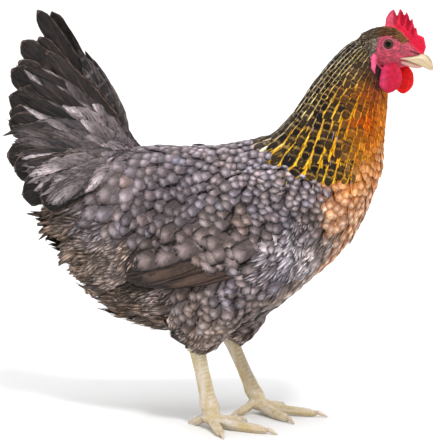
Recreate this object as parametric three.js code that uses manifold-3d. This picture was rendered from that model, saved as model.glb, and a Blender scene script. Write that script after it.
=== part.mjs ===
// A life-size standing hen whose head is turned a little to its right. Millimetres, +Z up, +X forward,
// +Y to the bird's left. The origin is on the floor, below the middle of the bird's length and width.
//
// Every soft shape is a loft: a sphere whose poles are the two ends of a form and whose rings are its
// sections. A form is a row of evenly spaced sections, each with its upper and its lower edge.

import * as THREE from "three";
import { mergeVertices } from "three/addons/utils/BufferGeometryUtils.js";
import Module from "manifold-3d";

const wasm = await Module();
wasm.setup();

// ---- driving dimensions -------------------------------------------------------------------------

const GAP = 0.3; // clearance between touching pieces
const FAR = 1000; // half size of the boxes that cut with one face
const LEFT = 1;
const RIGHT = -1;

const HEAD_TURN = THREE.MathUtils.degToRad(-14); // about the vertical through the top of the neck
const NECK_TOP = 160; // x of that vertical

const EYE = { x: 15.4, y: 11.8, z: 376, radius: 6.8 };
const EARLOBE = { x: 1, y: 18, z: 355.5, half: 3.4, tall: 11.5, thick: 2.8 };
const WATTLE_THICKNESS = 4.6;
const COMB_DEPTH = 2.6; // of the comb's flat middle, between two bevels
const COMB_BEVEL = 1;
const WING = { rim: 1.5, proud: 9, sunk: 8 }; // off the flank: its edge, its crown and its inner face
const TAIL_BLADES = 8; // main feathers on each side of the tail
const BLADE_THICKNESS = 2;

// A section of a form in side view: x and z of its upper edge, of its lower edge, and its half width.
const ring = (topX, topZ, lowX, lowZ, half, y = 0) => ({
  top: new THREE.Vector3(topX, y, topZ),
  low: new THREE.Vector3(lowX, y, lowZ),
  half,
});
const tip = (x, z, y = 0) => ring(x, z, x, z, 0, y); // the closed end of a form

// Rump to breast.
const TRUNK = [
  tip(-171, 206),
  ring(-164, 224, -164, 188, 15),
  ring(-148, 246, -149, 165, 27),
  ring(-121, 265, -126, 132, 41),
  ring(-88, 276, -93, 106, 54),
  ring(-50, 278, -54, 96, 64),
  ring(-12, 277, -16, 91, 70),
  ring(26, 282, 20, 92, 74),
  ring(60, 290, 51, 108.5, 74),
  ring(90, 297, 85, 137, 70),
  ring(118, 299, 113, 161, 61),
  ring(140, 294, 137, 189, 50),
  ring(155, 284, 151, 217, 36),
  ring(163, 272, 161, 244, 19),
  tip(165.5, 258),
];

// Inside the head down to inside the trunk: the throat is the upper edge, the nape the lower.
const NECK = [
  tip(156, 366),
  ring(169, 351, 137.5, 381, 17),
  ring(170, 336, 123.5, 371.5, 21),
  ring(169.5, 321, 109, 356, 26),
  ring(168.5, 306, 95, 338, 32),
  ring(167, 291, 82, 319, 39),
  ring(166, 274, 68, 299, 47),
  ring(165, 256, 48, 284, 52),
  ring(152, 234, 36, 262, 48),
  tip(88, 236),
];

// Nape to the root of the beak, with x measured from the top of the neck.
const HEAD = [
  tip(-23, 374),
  ring(-15, 388.5, -15, 357, 14),
  ring(-1, 393.5, -4, 353, 17.5),
  ring(13, 394.5, 8, 352.5, 18),
  ring(24, 389, 19, 354, 16.5),
  ring(31.5, 380.5, 29, 355, 13),
  ring(38.5, 373, 37, 357, 9.5),
  ring(45, 366.5, 42, 359, 6),
  tip(47, 362),
];

const UPPER_BEAK = [
  tip(24, 362),
  ring(30, 365, 30, 359.4, 8.6),
  ring(38, 367, 37.5, 357, 7.6),
  ring(45, 367, 44, 355.3, 5.9),
  ring(50.2, 363.5, 48, 353.4, 4),
  ring(54, 357.5, 50.8, 350.3, 2.2),
  tip(53, 348.6),
];

const LOWER_BEAK = [
  tip(24, 356),
  ring(29, 359, 28, 350.5, 7),
  ring(35, 356.8, 34, 351.8, 6),
  ring(40, 355.4, 40, 352, 4.6),
  tip(45.5, 353.6),
];

// The comb's points from back to front, as x and z on the head: each tip, and the notch before it.
const COMB_BACK = { base: [10, 388], bulge: [5.5, 401], shoulder: [11.5, 406.5], tip: [15, 409.5] };
const COMB_POINTS = [
  { notch: [19, 400.5], tip: [22.2, 409.6] },
  { notch: [26, 401.5], tip: [28.6, 406.6] },
  { notch: [31.6, 397], tip: [34, 400.2] },
  { notch: [35.6, 391.5], tip: [38.4, 391.6] },
];
const COMB_FRONT = { dip: [38.4, 385.4], high: [47, 387], low: [49.5, 371], base: [44.5, 366] };

// Each wattle hangs from the jaw. The swell is its width from root to foot, as a share of the widest.
const WATTLE_SWELL = [0, 0.74, 0.96, 1, 0.82, 0];
const WATTLE = {
  [RIGHT]: { root: [17, 10, 360], foot: [17.3, 17, 329.5], half: 12.2 },
  [LEFT]: { root: [23, 10, 358], foot: [20.5, 16, 329], half: 10.8 },
};

// The folded wing, tip to shoulder. The half widths are shares of WING.proud, because the flank sets y.
const WING_FORM = [
  tip(-85, 148),
  ring(-77, 161, -72, 136, 0.7),
  ring(-51, 186, -48, 137, 0.9),
  ring(-16, 219, -18, 142, 1),
  ring(18, 247, 16, 148, 1),
  ring(54, 260, 52, 163, 1),
  ring(87, 258, 84, 180, 1),
  ring(110, 243, 106, 198, 0.8),
  tip(117, 220),
];

// The tail's feathers fan out from its root: the first stands steepest and innermost.
const TAIL_ROOT = new THREE.Vector3(-82, 0, 266);
const BLADE = {
  lift: [56.5, -28], // degrees above level
  reach: [178, 104], // length from the tail's root
  half: [11.5, 16],
  splay: [4, 24], // degrees out from the middle plane
  root: [3, 17], // y of the quill ends
};
// A blade's outline: half width as a share of the widest, at shares of the way along.
const BLADE_OUTLINE = [
  [0, 0],
  [0.15, 0.6],
  [0.38, 0.9],
  [0.6, 1],
  [0.8, 1],
  [0.94, 0.86],
  [1, 0],
];
const TAIL_COVERTS = [
  tip(-58, 262),
  ring(-76, 284, -90, 220, 26),
  ring(-94, 301, -122, 200, 32),
  ring(-110, 326, -150, 201, 29),
  ring(-129, 350, -172, 220, 20),
  ring(-146, 354, -179, 258, 10),
  tip(-165, 316),
];

// Each leg: its feathered part in level sections (front edge, rear edge), its shank and its toes. A toe
// leaves the foot at its root's height, and the larger its drop the sooner it lies on the floor.
const LEG = {
  [RIGHT]: {
    thigh: [
      tip(4, 174, -30),
      ring(44, 152, -32, 148, 24, -35),
      ring(44, 126, -40, 124, 29, -41),
      ring(32, 105, -41, 105, 27, -41),
      ring(16, 89, -32, 91, 20, -40),
      ring(4, 79, -22, 81, 11, -39),
      tip(-9, 74, -39),
    ],
    hock: [-15.5, 92],
    ball: [2, 13],
    y: -39,
    toes: [
      { name: "back", heading: 150, length: 23, claw: 9, root: 19, drop: 2 },
      { name: "inner", heading: 50, length: 38, claw: 9, root: 12, drop: 3 },
      { name: "middle", heading: -16, length: 61, claw: 12, root: 12, drop: 4 },
      { name: "outer", heading: -66, length: 43, claw: 10, root: 12, drop: 3 },
    ],
  },
  [LEFT]: {
    thigh: [
      tip(26, 174, 30),
      ring(62, 152, -12, 148, 24, 35),
      ring(58, 126, -12, 124, 29, 41),
      ring(46, 105, -6, 105, 27, 42),
      ring(37, 88, 1, 91, 19, 41),
      ring(26, 77, 4, 80, 11, 40),
      tip(14, 70, 40),
    ],
    hock: [1, 88],
    ball: [35.5, 13],
    y: 39,
    toes: [
      { name: "back", heading: -138, length: 25, claw: 9, root: 18, drop: 2 },
      { name: "inner", heading: -46, length: 54, claw: 11, root: 12, drop: 3 },
      { name: "middle", heading: -5, length: 62, claw: 12, root: 12, drop: 4 },
      { name: "outer", heading: 60, length: 38, claw: 9, root: 12, drop: 3 },
    ],
  },
};
const SHANK = [
  // share of the way from hock to ball, half depth, half width
  [-0.1, 0, 0],
  [0.05, 8.6, 7.4],
  [0.28, 7.8, 6],
  [0.52, 7.4, 5.6],
  [0.76, 8, 6.4],
  [0.95, 9.6, 8.4],
  [1.1, 0, 0],
];
const TOE = { half: 4.8, tall: 5, sink: 1 }; // sink gives it a small flat on the floor
const CLAW = { half: 2.2, tall: 2.6 };

// ---- colours ------------------------------------------------------------------------------------

const material = (colour, roughness) =>
  new THREE.MeshStandardMaterial({ color: colour, roughness, metalness: 0 });

const GREY_FEATHER = material("#7d757b", 0.75);
const HACKLE = material("#a8742e", 0.65);
const TAIL_FEATHER = material("#5d5557", 0.7);
const WING_FEATHER = material("#75665e", 0.7);
const FACE = material("#b8405f", 0.55);
const COMB_RED = material("#d82349", 0.5);
const LEG_SKIN = material("#d9cda0", 0.5);
const BEAK_HORN = material("#d8cbaa", 0.35);
const CLAW_HORN = material("#d6c8b4", 0.4);
const EYE_DARK = material("#3b2a1c", 0.05);

// ---- shape tools --------------------------------------------------------------------------------

// A cubic from b to c, with the slopes that a and d give it.
function blend(a, b, c, d, f) {
  const slopeB = (c - a) / 2;
  const slopeC = (d - b) / 2;
  return b + f * (slopeB + f * (3 * (c - b) - 2 * slopeB - slopeC + f * (2 * (b - c) + slopeB + slopeC)));
}

// The section before the first, or after the last, is the nearest one turned over. So an end is blunt.
const flipped = (section) => ({ top: section.low, low: section.top, half: -section.half });

function sectionAt(form, t) {
  const last = form.length - 1;
  const place = Math.min(Math.max(t, 0), 1) * last;
  const i = Math.min(Math.floor(place), last - 1);
  const f = place - i;
  const near = [
    i > 0 ? form[i - 1] : flipped(form[1]),
    form[i],
    form[i + 1],
    i < last - 1 ? form[i + 2] : flipped(form[last - 1]),
  ];
  const mixed = (read) => blend(...near.map(read), f);
  const point = (edge) => new THREE.Vector3(...["x", "y", "z"].map((k) => mixed((s) => s[edge][k])));
  return { top: point("top"), low: point("low"), half: Math.max(mixed((s) => s.half), 0) };
}

function closed(geometry) {
  geometry.deleteAttribute("normal");
  geometry.deleteAttribute("uv");
  return mergeVertices(geometry, 1e-3);
}

// How far out a superellipse lies in the direction of a point of the unit circle.
function roundness(across, above, power) {
  const sum = Math.abs(across) ** power + Math.abs(above) ** power;
  return sum > 0 ? sum ** (-1 / power) : 0;
}

const END_CROWDING = 0.45; // how far the rings are drawn towards the two ends

// A sphere's surface with its poles at the form's ends and each ring's points put where place() says.
function fromSphere(around, along, power, place) {
  const geometry = new THREE.SphereGeometry(1, around, along);
  const position = geometry.getAttribute("position");
  const p = new THREE.Vector3();
  for (let i = 0; i < position.count; i++) {
    p.fromBufferAttribute(position, i);
    const even = Math.acos(THREE.MathUtils.clamp(p.y, -1, 1)) / Math.PI;
    const t = THREE.MathUtils.lerp(even, (1 - p.y) / 2, END_CROWDING);
    const radius = Math.hypot(p.x, p.z);
    const scale = radius > 1e-6 ? roundness(p.x / radius, p.z / radius, power) / radius : 0;
    const point = place(t, p.x * scale, p.z * scale);
    position.setXYZ(i, point.x, point.y, point.z);
  }
  return closed(geometry);
}

// The half widths of a loft lie along side. The surface faces outwards for either sense of the form.
function loft(form, { around, along, side = new THREE.Vector3(0, 1, 0), power = 2.2 }) {
  const run = sectionAt(form, 0.55).top.add(sectionAt(form, 0.55).low);
  run.sub(sectionAt(form, 0.45).top).sub(sectionAt(form, 0.45).low);
  const middle = sectionAt(form, 0.5);
  const turn = run.cross(side).dot(middle.top.sub(middle.low)) > 0 ? 1 : -1;
  return fromSphere(around, along, power, (t, across, above) => {
    const { top, low, half } = sectionAt(form, t);
    const centre = top.clone().lerp(low, 0.5);
    return centre.addScaledVector(top.sub(low), above / 2).addScaledVector(side, turn * across * half);
  });
}

// The same surface moved outwards, to cut a neighbour with the usual gap.
function grown(geometry, by = GAP) {
  const bigger = geometry.clone();
  bigger.computeVertexNormals();
  const position = bigger.getAttribute("position");
  const normal = bigger.getAttribute("normal");
  const p = new THREE.Vector3();
  const n = new THREE.Vector3();
  for (let i = 0; i < position.count; i++) {
    p.fromBufferAttribute(position, i).addScaledVector(n.fromBufferAttribute(normal, i), by);
    position.setXYZ(i, p.x, p.y, p.z);
  }
  bigger.deleteAttribute("normal");
  return bigger;
}

function solid(geometry) {
  return new wasm.Manifold(
    new wasm.Mesh({
      numProp: 3,
      vertProperties: new Float32Array(geometry.getAttribute("position").array),
      triVerts: new Uint32Array(geometry.getIndex().array),
    }),
  );
}

function geometryOf(made) {
  const mesh = made.getMesh();
  return new THREE.BufferGeometry()
    .setAttribute("position", new THREE.BufferAttribute(new Float32Array(mesh.vertProperties), 3))
    .setIndex(new THREE.BufferAttribute(new Uint32Array(mesh.triVerts), 1));
}

const cut = (made, ...cutters) => cutters.reduce((left, cutter) => left.subtract(cutter), made);
const join = (first, ...others) => others.reduce((sum, other) => sum.add(other), first);

// All of space on one side of a plane, as a box that reaches FAR.
function beyond(point, normal) {
  const box = new THREE.BoxGeometry(2 * FAR, 2 * FAR, 2 * FAR).translate(0, 0, FAR);
  const turn = new THREE.Quaternion().setFromUnitVectors(new THREE.Vector3(0, 0, 1), normal);
  return solid(closed(box.applyQuaternion(turn).translate(...point.toArray())));
}

// The part of a solid that lies beyond a plane, half a gap away from it.
function kept(made, point, normal) {
  const back = normal.clone().negate();
  return made.subtract(beyond(point.clone().addScaledVector(normal, GAP / 2), back));
}

// ---- frames -------------------------------------------------------------------------------------

const hen = new THREE.Group();
const headFrame = new THREE.Group();
headFrame.position.set(NECK_TOP, 0, 0);
headFrame.rotation.z = HEAD_TURN;
hen.add(headFrame);
hen.updateMatrixWorld(true);

const onHead = (geometry) => geometry.applyMatrix4(headFrame.matrixWorld);

// A finished solid becomes a named mesh, in the coordinates of the group that carries it.
function place(name, made, look, group = hen) {
  const geometry = geometryOf(made).applyMatrix4(group.matrixWorld.clone().invert());
  const mesh = new THREE.Mesh(geometry, look);
  mesh.name = name;
  group.add(mesh);
}

const SIDES = [
  [LEFT, "left"],
  [RIGHT, "right"],
];

// ---- head, neck and trunk: one body, parted by two thin cuts ------------------------------------

const trunkForm = loft(TRUNK, { around: 24, along: 19 });
const neckForm = loft(NECK, { around: 16, along: 12 });
const headForm = onHead(loft(HEAD, { around: 16, along: 12 }));

const body = join(solid(trunkForm), solid(neckForm), solid(headForm));
const bodyGrown = join(solid(grown(trunkForm)), solid(grown(neckForm)), solid(grown(headForm)));

const NECK_CUT = { point: new THREE.Vector3(108, 0, 270), normal: new THREE.Vector3(0.5, 0, 0.866) };
const HEAD_CUT = { point: new THREE.Vector3(155, 0, 362), normal: new THREE.Vector3(0.72, 0, 0.69) };

function above(made, { point, normal }) {
  return kept(made, point, normal.clone().normalize());
}

function below(made, { point, normal }) {
  return kept(made, point, normal.clone().normalize().negate());
}

const eyes = [LEFT, RIGHT].map((side) => {
  const ball = closed(new THREE.SphereGeometry(EYE.radius, 12, 8));
  return onHead(ball.translate(EYE.x, side * EYE.y, EYE.z));
});
const upperBeak = onHead(loft(UPPER_BEAK, { around: 10, along: 10, power: 2 }));
const lowerBeak = onHead(loft(LOWER_BEAK, { around: 8, along: 7, power: 2 }));
const beaksGrown = [solid(grown(upperBeak)), solid(grown(lowerBeak))];

const head = cut(above(body, HEAD_CUT), ...eyes.map((eye) => solid(grown(eye))), ...beaksGrown);
place("trunk", below(body, NECK_CUT), GREY_FEATHER);
place("neck", below(above(body, NECK_CUT), HEAD_CUT), HACKLE);
place("head", head, FACE, headFrame);
place("eye_left", solid(eyes[0]), EYE_DARK, headFrame);
place("eye_right", solid(eyes[1]), EYE_DARK, headFrame);
place("beak_upper", solid(upperBeak), BEAK_HORN, headFrame);
place("beak_lower", cut(solid(lowerBeak), solid(grown(upperBeak))), BEAK_HORN, headFrame);

// ---- comb, wattles and earlobes -----------------------------------------------------------------

function combOutline() {
  const shape = new THREE.Shape();
  shape.moveTo(...COMB_BACK.base);
  shape.quadraticCurveTo(...COMB_BACK.bulge, ...COMB_BACK.shoulder);
  shape.lineTo(...COMB_BACK.tip);
  for (const { notch, tip: point } of COMB_POINTS) {
    shape.quadraticCurveTo(notch[0] - 1.5, notch[1] + 5, ...notch);
    shape.quadraticCurveTo(notch[0] + 1.8, point[1] - 5, ...point);
  }
  shape.lineTo(...COMB_FRONT.dip);
  shape.bezierCurveTo(...COMB_FRONT.high, ...COMB_FRONT.low, ...COMB_FRONT.base);
  shape.quadraticCurveTo(30, 370, ...COMB_BACK.base);
  return shape;
}

const combBlade = new THREE.ExtrudeGeometry(combOutline(), {
  depth: COMB_DEPTH,
  bevelThickness: COMB_BEVEL,
  bevelSize: COMB_BEVEL,
  bevelSegments: 1,
  curveSegments: 3,
})
  .translate(0, 0, -COMB_DEPTH / 2)
  .rotateX(Math.PI / 2);
place("comb", cut(solid(closed(onHead(combBlade))), bodyGrown, ...beaksGrown), COMB_RED, headFrame);

// Its sections are level, so its upper edge is the front one.
function wattle(side) {
  const { root, foot, half } = WATTLE[side];
  const form = WATTLE_SWELL.map((swell, i) => {
    const f = i / (WATTLE_SWELL.length - 1);
    const [x, y, z] = root.map((r, k) => r + f * (foot[k] - r));
    const reach = swell * half;
    return ring(x + reach, z, x - reach, z, (Math.sqrt(swell) * WATTLE_THICKNESS) / 2, side * y);
  });
  return onHead(loft(form, { around: 10, along: 9, power: 2 }));
}

function earlobe(side) {
  const { x, y, z, half, tall, thick } = EARLOBE;
  const form = new THREE.SphereGeometry(1, 8, 8).scale(half, thick, tall);
  return onHead(closed(form.translate(x, side * y, z)));
}

for (const [side, word] of SIDES) {
  place(`wattle_${word}`, cut(solid(wattle(side)), bodyGrown, ...beaksGrown), COMB_RED, headFrame);
  place(`earlobe_${word}`, cut(solid(earlobe(side)), bodyGrown), FACE, headFrame);
}

// ---- wings --------------------------------------------------------------------------------------

// Half the trunk's width at a point of its side view.
function flankAt(x, z, power = 2.2) {
  let [low, high] = [0, 1];
  for (let i = 0; i < 24; i++) {
    const mid = (low + high) / 2;
    const s = sectionAt(TRUNK, mid);
    if ((s.top.x + s.low.x) / 2 < x) low = mid;
    else high = mid;
  }
  const s = sectionAt(TRUNK, low);
  const share = Math.abs(2 * z - s.top.z - s.low.z) / (s.top.z - s.low.z);
  return s.half * (1 - Math.min(share, 0.97) ** power) ** (1 / power);
}

// A lens laid over the flank with a blunt rim.
function wing(side) {
  return fromSphere(14, 13, 3, (t, across, above) => {
    const { top, low, half } = sectionAt(WING_FORM, t);
    const point = top.clone().lerp(low, 0.5).addScaledVector(top.clone().sub(low), above / 2);
    const outward = side * across;
    const off = WING.rim + (outward > 0 ? WING.proud : WING.sunk) * half * outward;
    return point.setY(side * (flankAt(point.x, point.z) + off));
  });
}

for (const [side, word] of SIDES) {
  place(`wing_${word}`, cut(solid(wing(side)), bodyGrown), WING_FEATHER);
}

// ---- tail ---------------------------------------------------------------------------------------

function blade(side, i) {
  const share = i / (TAIL_BLADES - 1);
  const between = ([first, last]) => first + share * (last - first);
  const lift = THREE.MathUtils.degToRad(between(BLADE.lift));
  const splay = THREE.MathUtils.degToRad(between(BLADE.splay));
  const run = new THREE.Vector3(
    -Math.cos(lift) * Math.cos(splay),
    side * Math.sin(splay),
    Math.sin(lift) * Math.cos(splay),
  );
  const face = new THREE.Vector3(Math.sin(splay), side * Math.cos(splay), 0);
  const edge = new THREE.Vector3().crossVectors(face, run).normalize().multiplyScalar(side);
  const flat = new THREE.Vector3().crossVectors(run, edge).normalize();
  const root = TAIL_ROOT.clone().setY(side * between(BLADE.root));
  const length = THREE.MathUtils.lerp(...BLADE.reach, share ** 0.75);
  const form = BLADE_OUTLINE.map(([along, wide]) => {
    const middle = root.clone().addScaledVector(run, along * length);
    const reach = wide * between(BLADE.half);
    return {
      top: middle.clone().addScaledVector(edge, reach),
      low: middle.clone().addScaledVector(edge, -reach),
      half: (Math.sign(wide) * BLADE_THICKNESS) / 2,
    };
  });
  return loft(form, { around: 6, along: 7, side: flat, power: 2 });
}

const blades = SIDES.flatMap(([side]) =>
  Array.from({ length: TAIL_BLADES }, (_, i) => solid(blade(side, i))),
);
const coverts = solid(loft(TAIL_COVERTS, { around: 12, along: 8 }));
place("tail", cut(join(coverts, ...blades), bodyGrown), TAIL_FEATHER);

// ---- legs and feet ------------------------------------------------------------------------------

const floor = beyond(new THREE.Vector3(0, 0, 0), new THREE.Vector3(0, 0, -1));

// A shank's sections are level, and so are a thigh's: their upper edge is the front one.
function shankForm(leg) {
  const form = SHANK.map(([share, deep, wide]) => {
    const x = leg.hock[0] + share * (leg.ball[0] - leg.hock[0]);
    const z = leg.hock[1] + share * (leg.ball[1] - leg.hock[1]);
    return ring(x + deep, z, x - deep, z, wide, leg.y);
  });
  return loft(form, { around: 10, along: 11, power: 2 });
}

// A toe slopes down from the ball of the foot to lie along the floor, and its claw bends down to it.
function toeForms(leg, toe) {
  const heading = THREE.MathUtils.degToRad(toe.heading);
  const run = new THREE.Vector3(Math.cos(heading), Math.sin(heading), 0);
  const side = new THREE.Vector3(-run.y, run.x, 0);
  const root = new THREE.Vector3(leg.ball[0], leg.y, 0);
  const row = (along, z, tall, half) => {
    const middle = root.clone().addScaledVector(run, along).setZ(z);
    const rise = new THREE.Vector3(0, 0, tall);
    return { top: middle.clone().add(rise), low: middle.clone().sub(rise), half };
  };
  const pads = [
    [-0.1, 0],
    [0.1, 1.2],
    [0.3, 1.1],
    [0.5, 1],
    [0.7, 0.98],
    [0.9, 0.84],
    [1.04, 0],
  ].map(([share, size]) => {
    const rest = TOE.tall * Math.max(size, 0.8) - TOE.sink;
    const z = rest + (toe.root - rest) * Math.max(1 - share, 0) ** toe.drop;
    return row(share * toe.length, z, TOE.tall * size, TOE.half * size);
  });
  const nail = [
    [-0.45, 4.4, 0],
    [0, 4.4, 1],
    [0.4, 3.4, 0.85],
    [0.75, 1.4, 0.6],
    [1, 0.4, 0],
  ].map(([share, z, size]) => row(toe.length + share * toe.claw, z, CLAW.tall * size, CLAW.half * size));
  return {
    pad: loft(pads, { around: 6, along: 8, side, power: 2 }),
    nail: loft(nail, { around: 5, along: 5, side, power: 2 }),
  };
}

for (const [side, word] of SIDES) {
  const leg = LEG[side];
  const thigh = loft(leg.thigh, { around: 14, along: 10 });
  const shank = shankForm(leg);
  const shankGrown = solid(grown(shank));
  const wingGrown = solid(grown(wing(side)));
  place(`thigh_${word}`, cut(solid(thigh), bodyGrown, wingGrown), GREY_FEATHER);
  place(`shank_${word}`, cut(solid(shank), bodyGrown, solid(grown(thigh)), floor), LEG_SKIN);

  // Each toe is cut by the shank, by its own claw and by the toes made before it.
  const made = [];
  for (const toe of leg.toes) {
    const { pad, nail } = toeForms(leg, toe);
    const nailGrown = solid(grown(nail));
    const shaped = cut(solid(pad), shankGrown, nailGrown, floor, ...made);
    place(`toe_${word}_${toe.name}`, shaped, LEG_SKIN);
    place(`claw_${word}_${toe.name}`, cut(solid(nail), floor), CLAW_HORN);
    made.push(solid(grown(pad)), nailGrown);
  }
}

export default hen;
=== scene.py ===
"""A life-size hen, standing: one skin with its feathers laid over it as solid vanes and strands.

Lengths in this script are millimetres in the frame's axes: +X forward, +Y to the bird's left, +Z up.
Meshes are scaled to metres when they are made.
"""

import math

import bpy
import numpy as np
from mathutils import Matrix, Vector, noise
from mathutils.bvhtree import BVHTree


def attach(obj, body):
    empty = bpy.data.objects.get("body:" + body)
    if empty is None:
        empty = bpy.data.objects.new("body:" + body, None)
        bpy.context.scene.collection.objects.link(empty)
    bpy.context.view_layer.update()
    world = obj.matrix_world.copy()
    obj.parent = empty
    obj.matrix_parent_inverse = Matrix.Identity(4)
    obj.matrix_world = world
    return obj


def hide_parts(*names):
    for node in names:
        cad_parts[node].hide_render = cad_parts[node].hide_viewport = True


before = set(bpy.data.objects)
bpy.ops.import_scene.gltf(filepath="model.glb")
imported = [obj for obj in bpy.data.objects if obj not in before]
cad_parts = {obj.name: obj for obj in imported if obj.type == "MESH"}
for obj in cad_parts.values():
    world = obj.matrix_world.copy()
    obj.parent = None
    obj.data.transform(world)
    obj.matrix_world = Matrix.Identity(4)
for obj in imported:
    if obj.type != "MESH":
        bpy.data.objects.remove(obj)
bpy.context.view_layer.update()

MM = 0.001
HEAD_TURN = math.radians(-14.0)
NECK_TOP = 160.0
SIDES = {"left": 1, "right": -1}
COMB_CUTS = [  # the notches between the comb's points: x and z of the mouth and the floor, half width
    ((18.6, 412), (17.2, 395.5), 3.0),
    ((25.9, 409), (24.2, 393.5), 3.1),
    ((32.0, 403), (30.0, 389.5), 2.9),
    ((37.4, 394), (35.0, 385.5), 2.3),
]
EYE = {"x": 15.4, "y": 11.8, "z": 376.0, "radius": 6.8}


# ---- small tools ---------------------------------------------------------------------------------


def colour(r, g, b):
    c = np.array([r, g, b], float) / 255
    return np.where(c <= 0.04045, c / 12.92, ((c + 0.055) / 1.055) ** 2.4)


def unit(a):
    return a / np.maximum(np.linalg.norm(a, axis=-1, keepdims=True), 1e-9)


def dot(a, b):
    return (a * b).sum(-1, keepdims=True)


def ease(low, high, x):
    t = np.clip((x - low) / (high - low), 0, 1)
    return t * t * (3 - 2 * t)


def on_head(points):
    """From the head's own frame, which looks along +X from the top of the neck, to the bird's."""
    p = np.asarray(points, float)
    c, s = math.cos(HEAD_TURN), math.sin(HEAD_TURN)
    x, y = p[..., 0], p[..., 1]
    return np.stack([NECK_TOP + x * c - y * s, x * s + y * c, p[..., 2]], -1)


def in_head(points):
    """The way back of on_head."""
    p = np.asarray(points, float)
    c, s = math.cos(HEAD_TURN), math.sin(HEAD_TURN)
    x, y = p[..., 0] - NECK_TOP, p[..., 1]
    return np.stack([x * c + y * s, -x * s + y * c, p[..., 2]], -1)


def blend(a, b, share):
    """a where the share is 0, b where it is 1."""
    return a * (1 - share) + b * share


def grain(points, size, seed=0.0):
    """Smooth noise from -1 to 1 whose lumps are about that size."""
    shift = Vector((seed * 17.3, seed * 5.1, seed * 9.7))
    return np.array([noise.noise(Vector(p) / size + shift) for p in points.tolist()])


# ---- meshes as arrays: corners in mm and triangles -----------------------------------------------


def faces_of(*corners):
    """One face a row, from the numbers of its corners."""
    return np.stack(np.broadcast_arrays(*corners), 1)


def between(ring, after, around):
    """The corners of one ring, the next ones round it, and the same of the ring after it."""
    i = np.arange(around)
    j = (i + 1) % around
    return ring * around + i, ring * around + j, after * around + i, after * around + j


def new_mesh(name, v, faces, scale=MM):
    """faces is a list of arrays of corner numbers, one row a face."""
    faces = [f for f in faces if len(f)]
    me = bpy.data.meshes.new(name)
    loops = np.concatenate([f.ravel() for f in faces]).astype(np.int32)
    sizes = np.concatenate([np.full(len(f), f.shape[1]) for f in faces])
    starts = np.concatenate([[0], np.cumsum(sizes)[:-1]]).astype(np.int32)
    me.vertices.add(len(v))
    me.vertices.foreach_set("co", np.ascontiguousarray(v * scale, np.float32).ravel())
    me.loops.add(len(loops))
    me.loops.foreach_set("vertex_index", loops)
    me.polygons.add(len(sizes))
    me.polygons.foreach_set("loop_start", starts)
    me.update(calc_edges=True)
    me.polygons.foreach_set("use_smooth", np.ones(len(sizes), bool))
    return me


def link(name, data):
    ob = bpy.data.objects.new(name, data)
    bpy.context.scene.collection.objects.link(ob)
    return ob


def arrays(me, scale=1.0):
    v = np.empty(len(me.vertices) * 3, np.float32)
    me.vertices.foreach_get("co", v)
    me.calc_loop_triangles()
    t = np.empty(len(me.loop_triangles) * 3, np.int32)
    me.loop_triangles.foreach_get("vertices", t)
    return v.reshape(-1, 3).astype(float) * scale, t.reshape(-1, 3)


def normals(v, t):
    face = np.cross(v[t[:, 1]] - v[t[:, 0]], v[t[:, 2]] - v[t[:, 0]])
    n = np.zeros_like(v)
    for k in range(3):
        for axis in range(3):
            n[:, axis] += np.bincount(t[:, k], face[:, axis], len(v))
    return unit(n)


def relaxed(v, t, rounds, shrink=False):
    """Smoothed. Each second round swells back what the first drew in, unless it may shrink."""
    draw_in, swell = 0.5, -0.53
    e = np.concatenate([t[:, [0, 1]], t[:, [1, 2]], t[:, [2, 0]]])
    a, b = np.unique(np.sort(e, 1), axis=0).T
    degree = (np.bincount(a, minlength=len(v)) + np.bincount(b, minlength=len(v)))[:, None]
    for i in range(rounds):
        sums = [np.bincount(a, v[b, k], len(v)) + np.bincount(b, v[a, k], len(v)) for k in range(3)]
        share = draw_in if shrink or i % 2 == 0 else swell
        v = v + share * (np.stack(sums, 1) / degree - v)
    return v


def joined(parts):
    start = np.cumsum([0] + [len(v) for v, _ in parts])
    faces = [t + first for (_, t), first in zip(parts, start)]
    return np.concatenate([v for v, _ in parts]), np.concatenate(faces)


def node_form(name, grow=0.0):
    """A CAD node, its split corners welded, moved outwards by grow."""
    v, t = arrays(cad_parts[name].data, 1 / MM)
    v, at = np.unique(np.round(v, 3), axis=0, return_inverse=True)
    t = at.reshape(-1)[t]
    t = t[(t[:, 0] != t[:, 1]) & (t[:, 1] != t[:, 2]) & (t[:, 2] != t[:, 0])]
    return v + grow * normals(v, t), t


def through_modifiers(v, t, *settings):
    """The mesh after these modifiers, each a kind and its settings. An object is given as its form."""
    made = [link("work", new_mesh("work", v, [t], 1))]
    for kind, values in settings:
        modifier = made[0].modifiers.new(kind, kind)
        if "object" in values:
            tool_v, tool_t = values["object"]
            made.append(link("tool", new_mesh("tool", tool_v, [tool_t], 1)))
            values = {**values, "object": made[-1]}
        for key, value in values.items():
            setattr(modifier, key, value)
    bpy.context.view_layer.update()
    shown = made[0].evaluated_get(bpy.context.evaluated_depsgraph_get())
    result = arrays(shown.to_mesh())
    shown.to_mesh_clear()
    for ob in made:
        me = ob.data
        bpy.data.objects.remove(ob)
        bpy.data.meshes.remove(me)
    return result


def remeshed(parts, voxel, rounds=4):
    """One closed surface round the union of these forms."""
    v, t = through_modifiers(*joined(parts), ("REMESH", {"mode": "VOXEL", "voxel_size": voxel}))
    return relaxed(v, t, rounds), t


def boolean(form, others, operation):
    how = {"operation": operation, "solver": "MANIFOLD"}
    return through_modifiers(*form, *[("BOOLEAN", {**how, "object": other}) for other in others])


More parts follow.
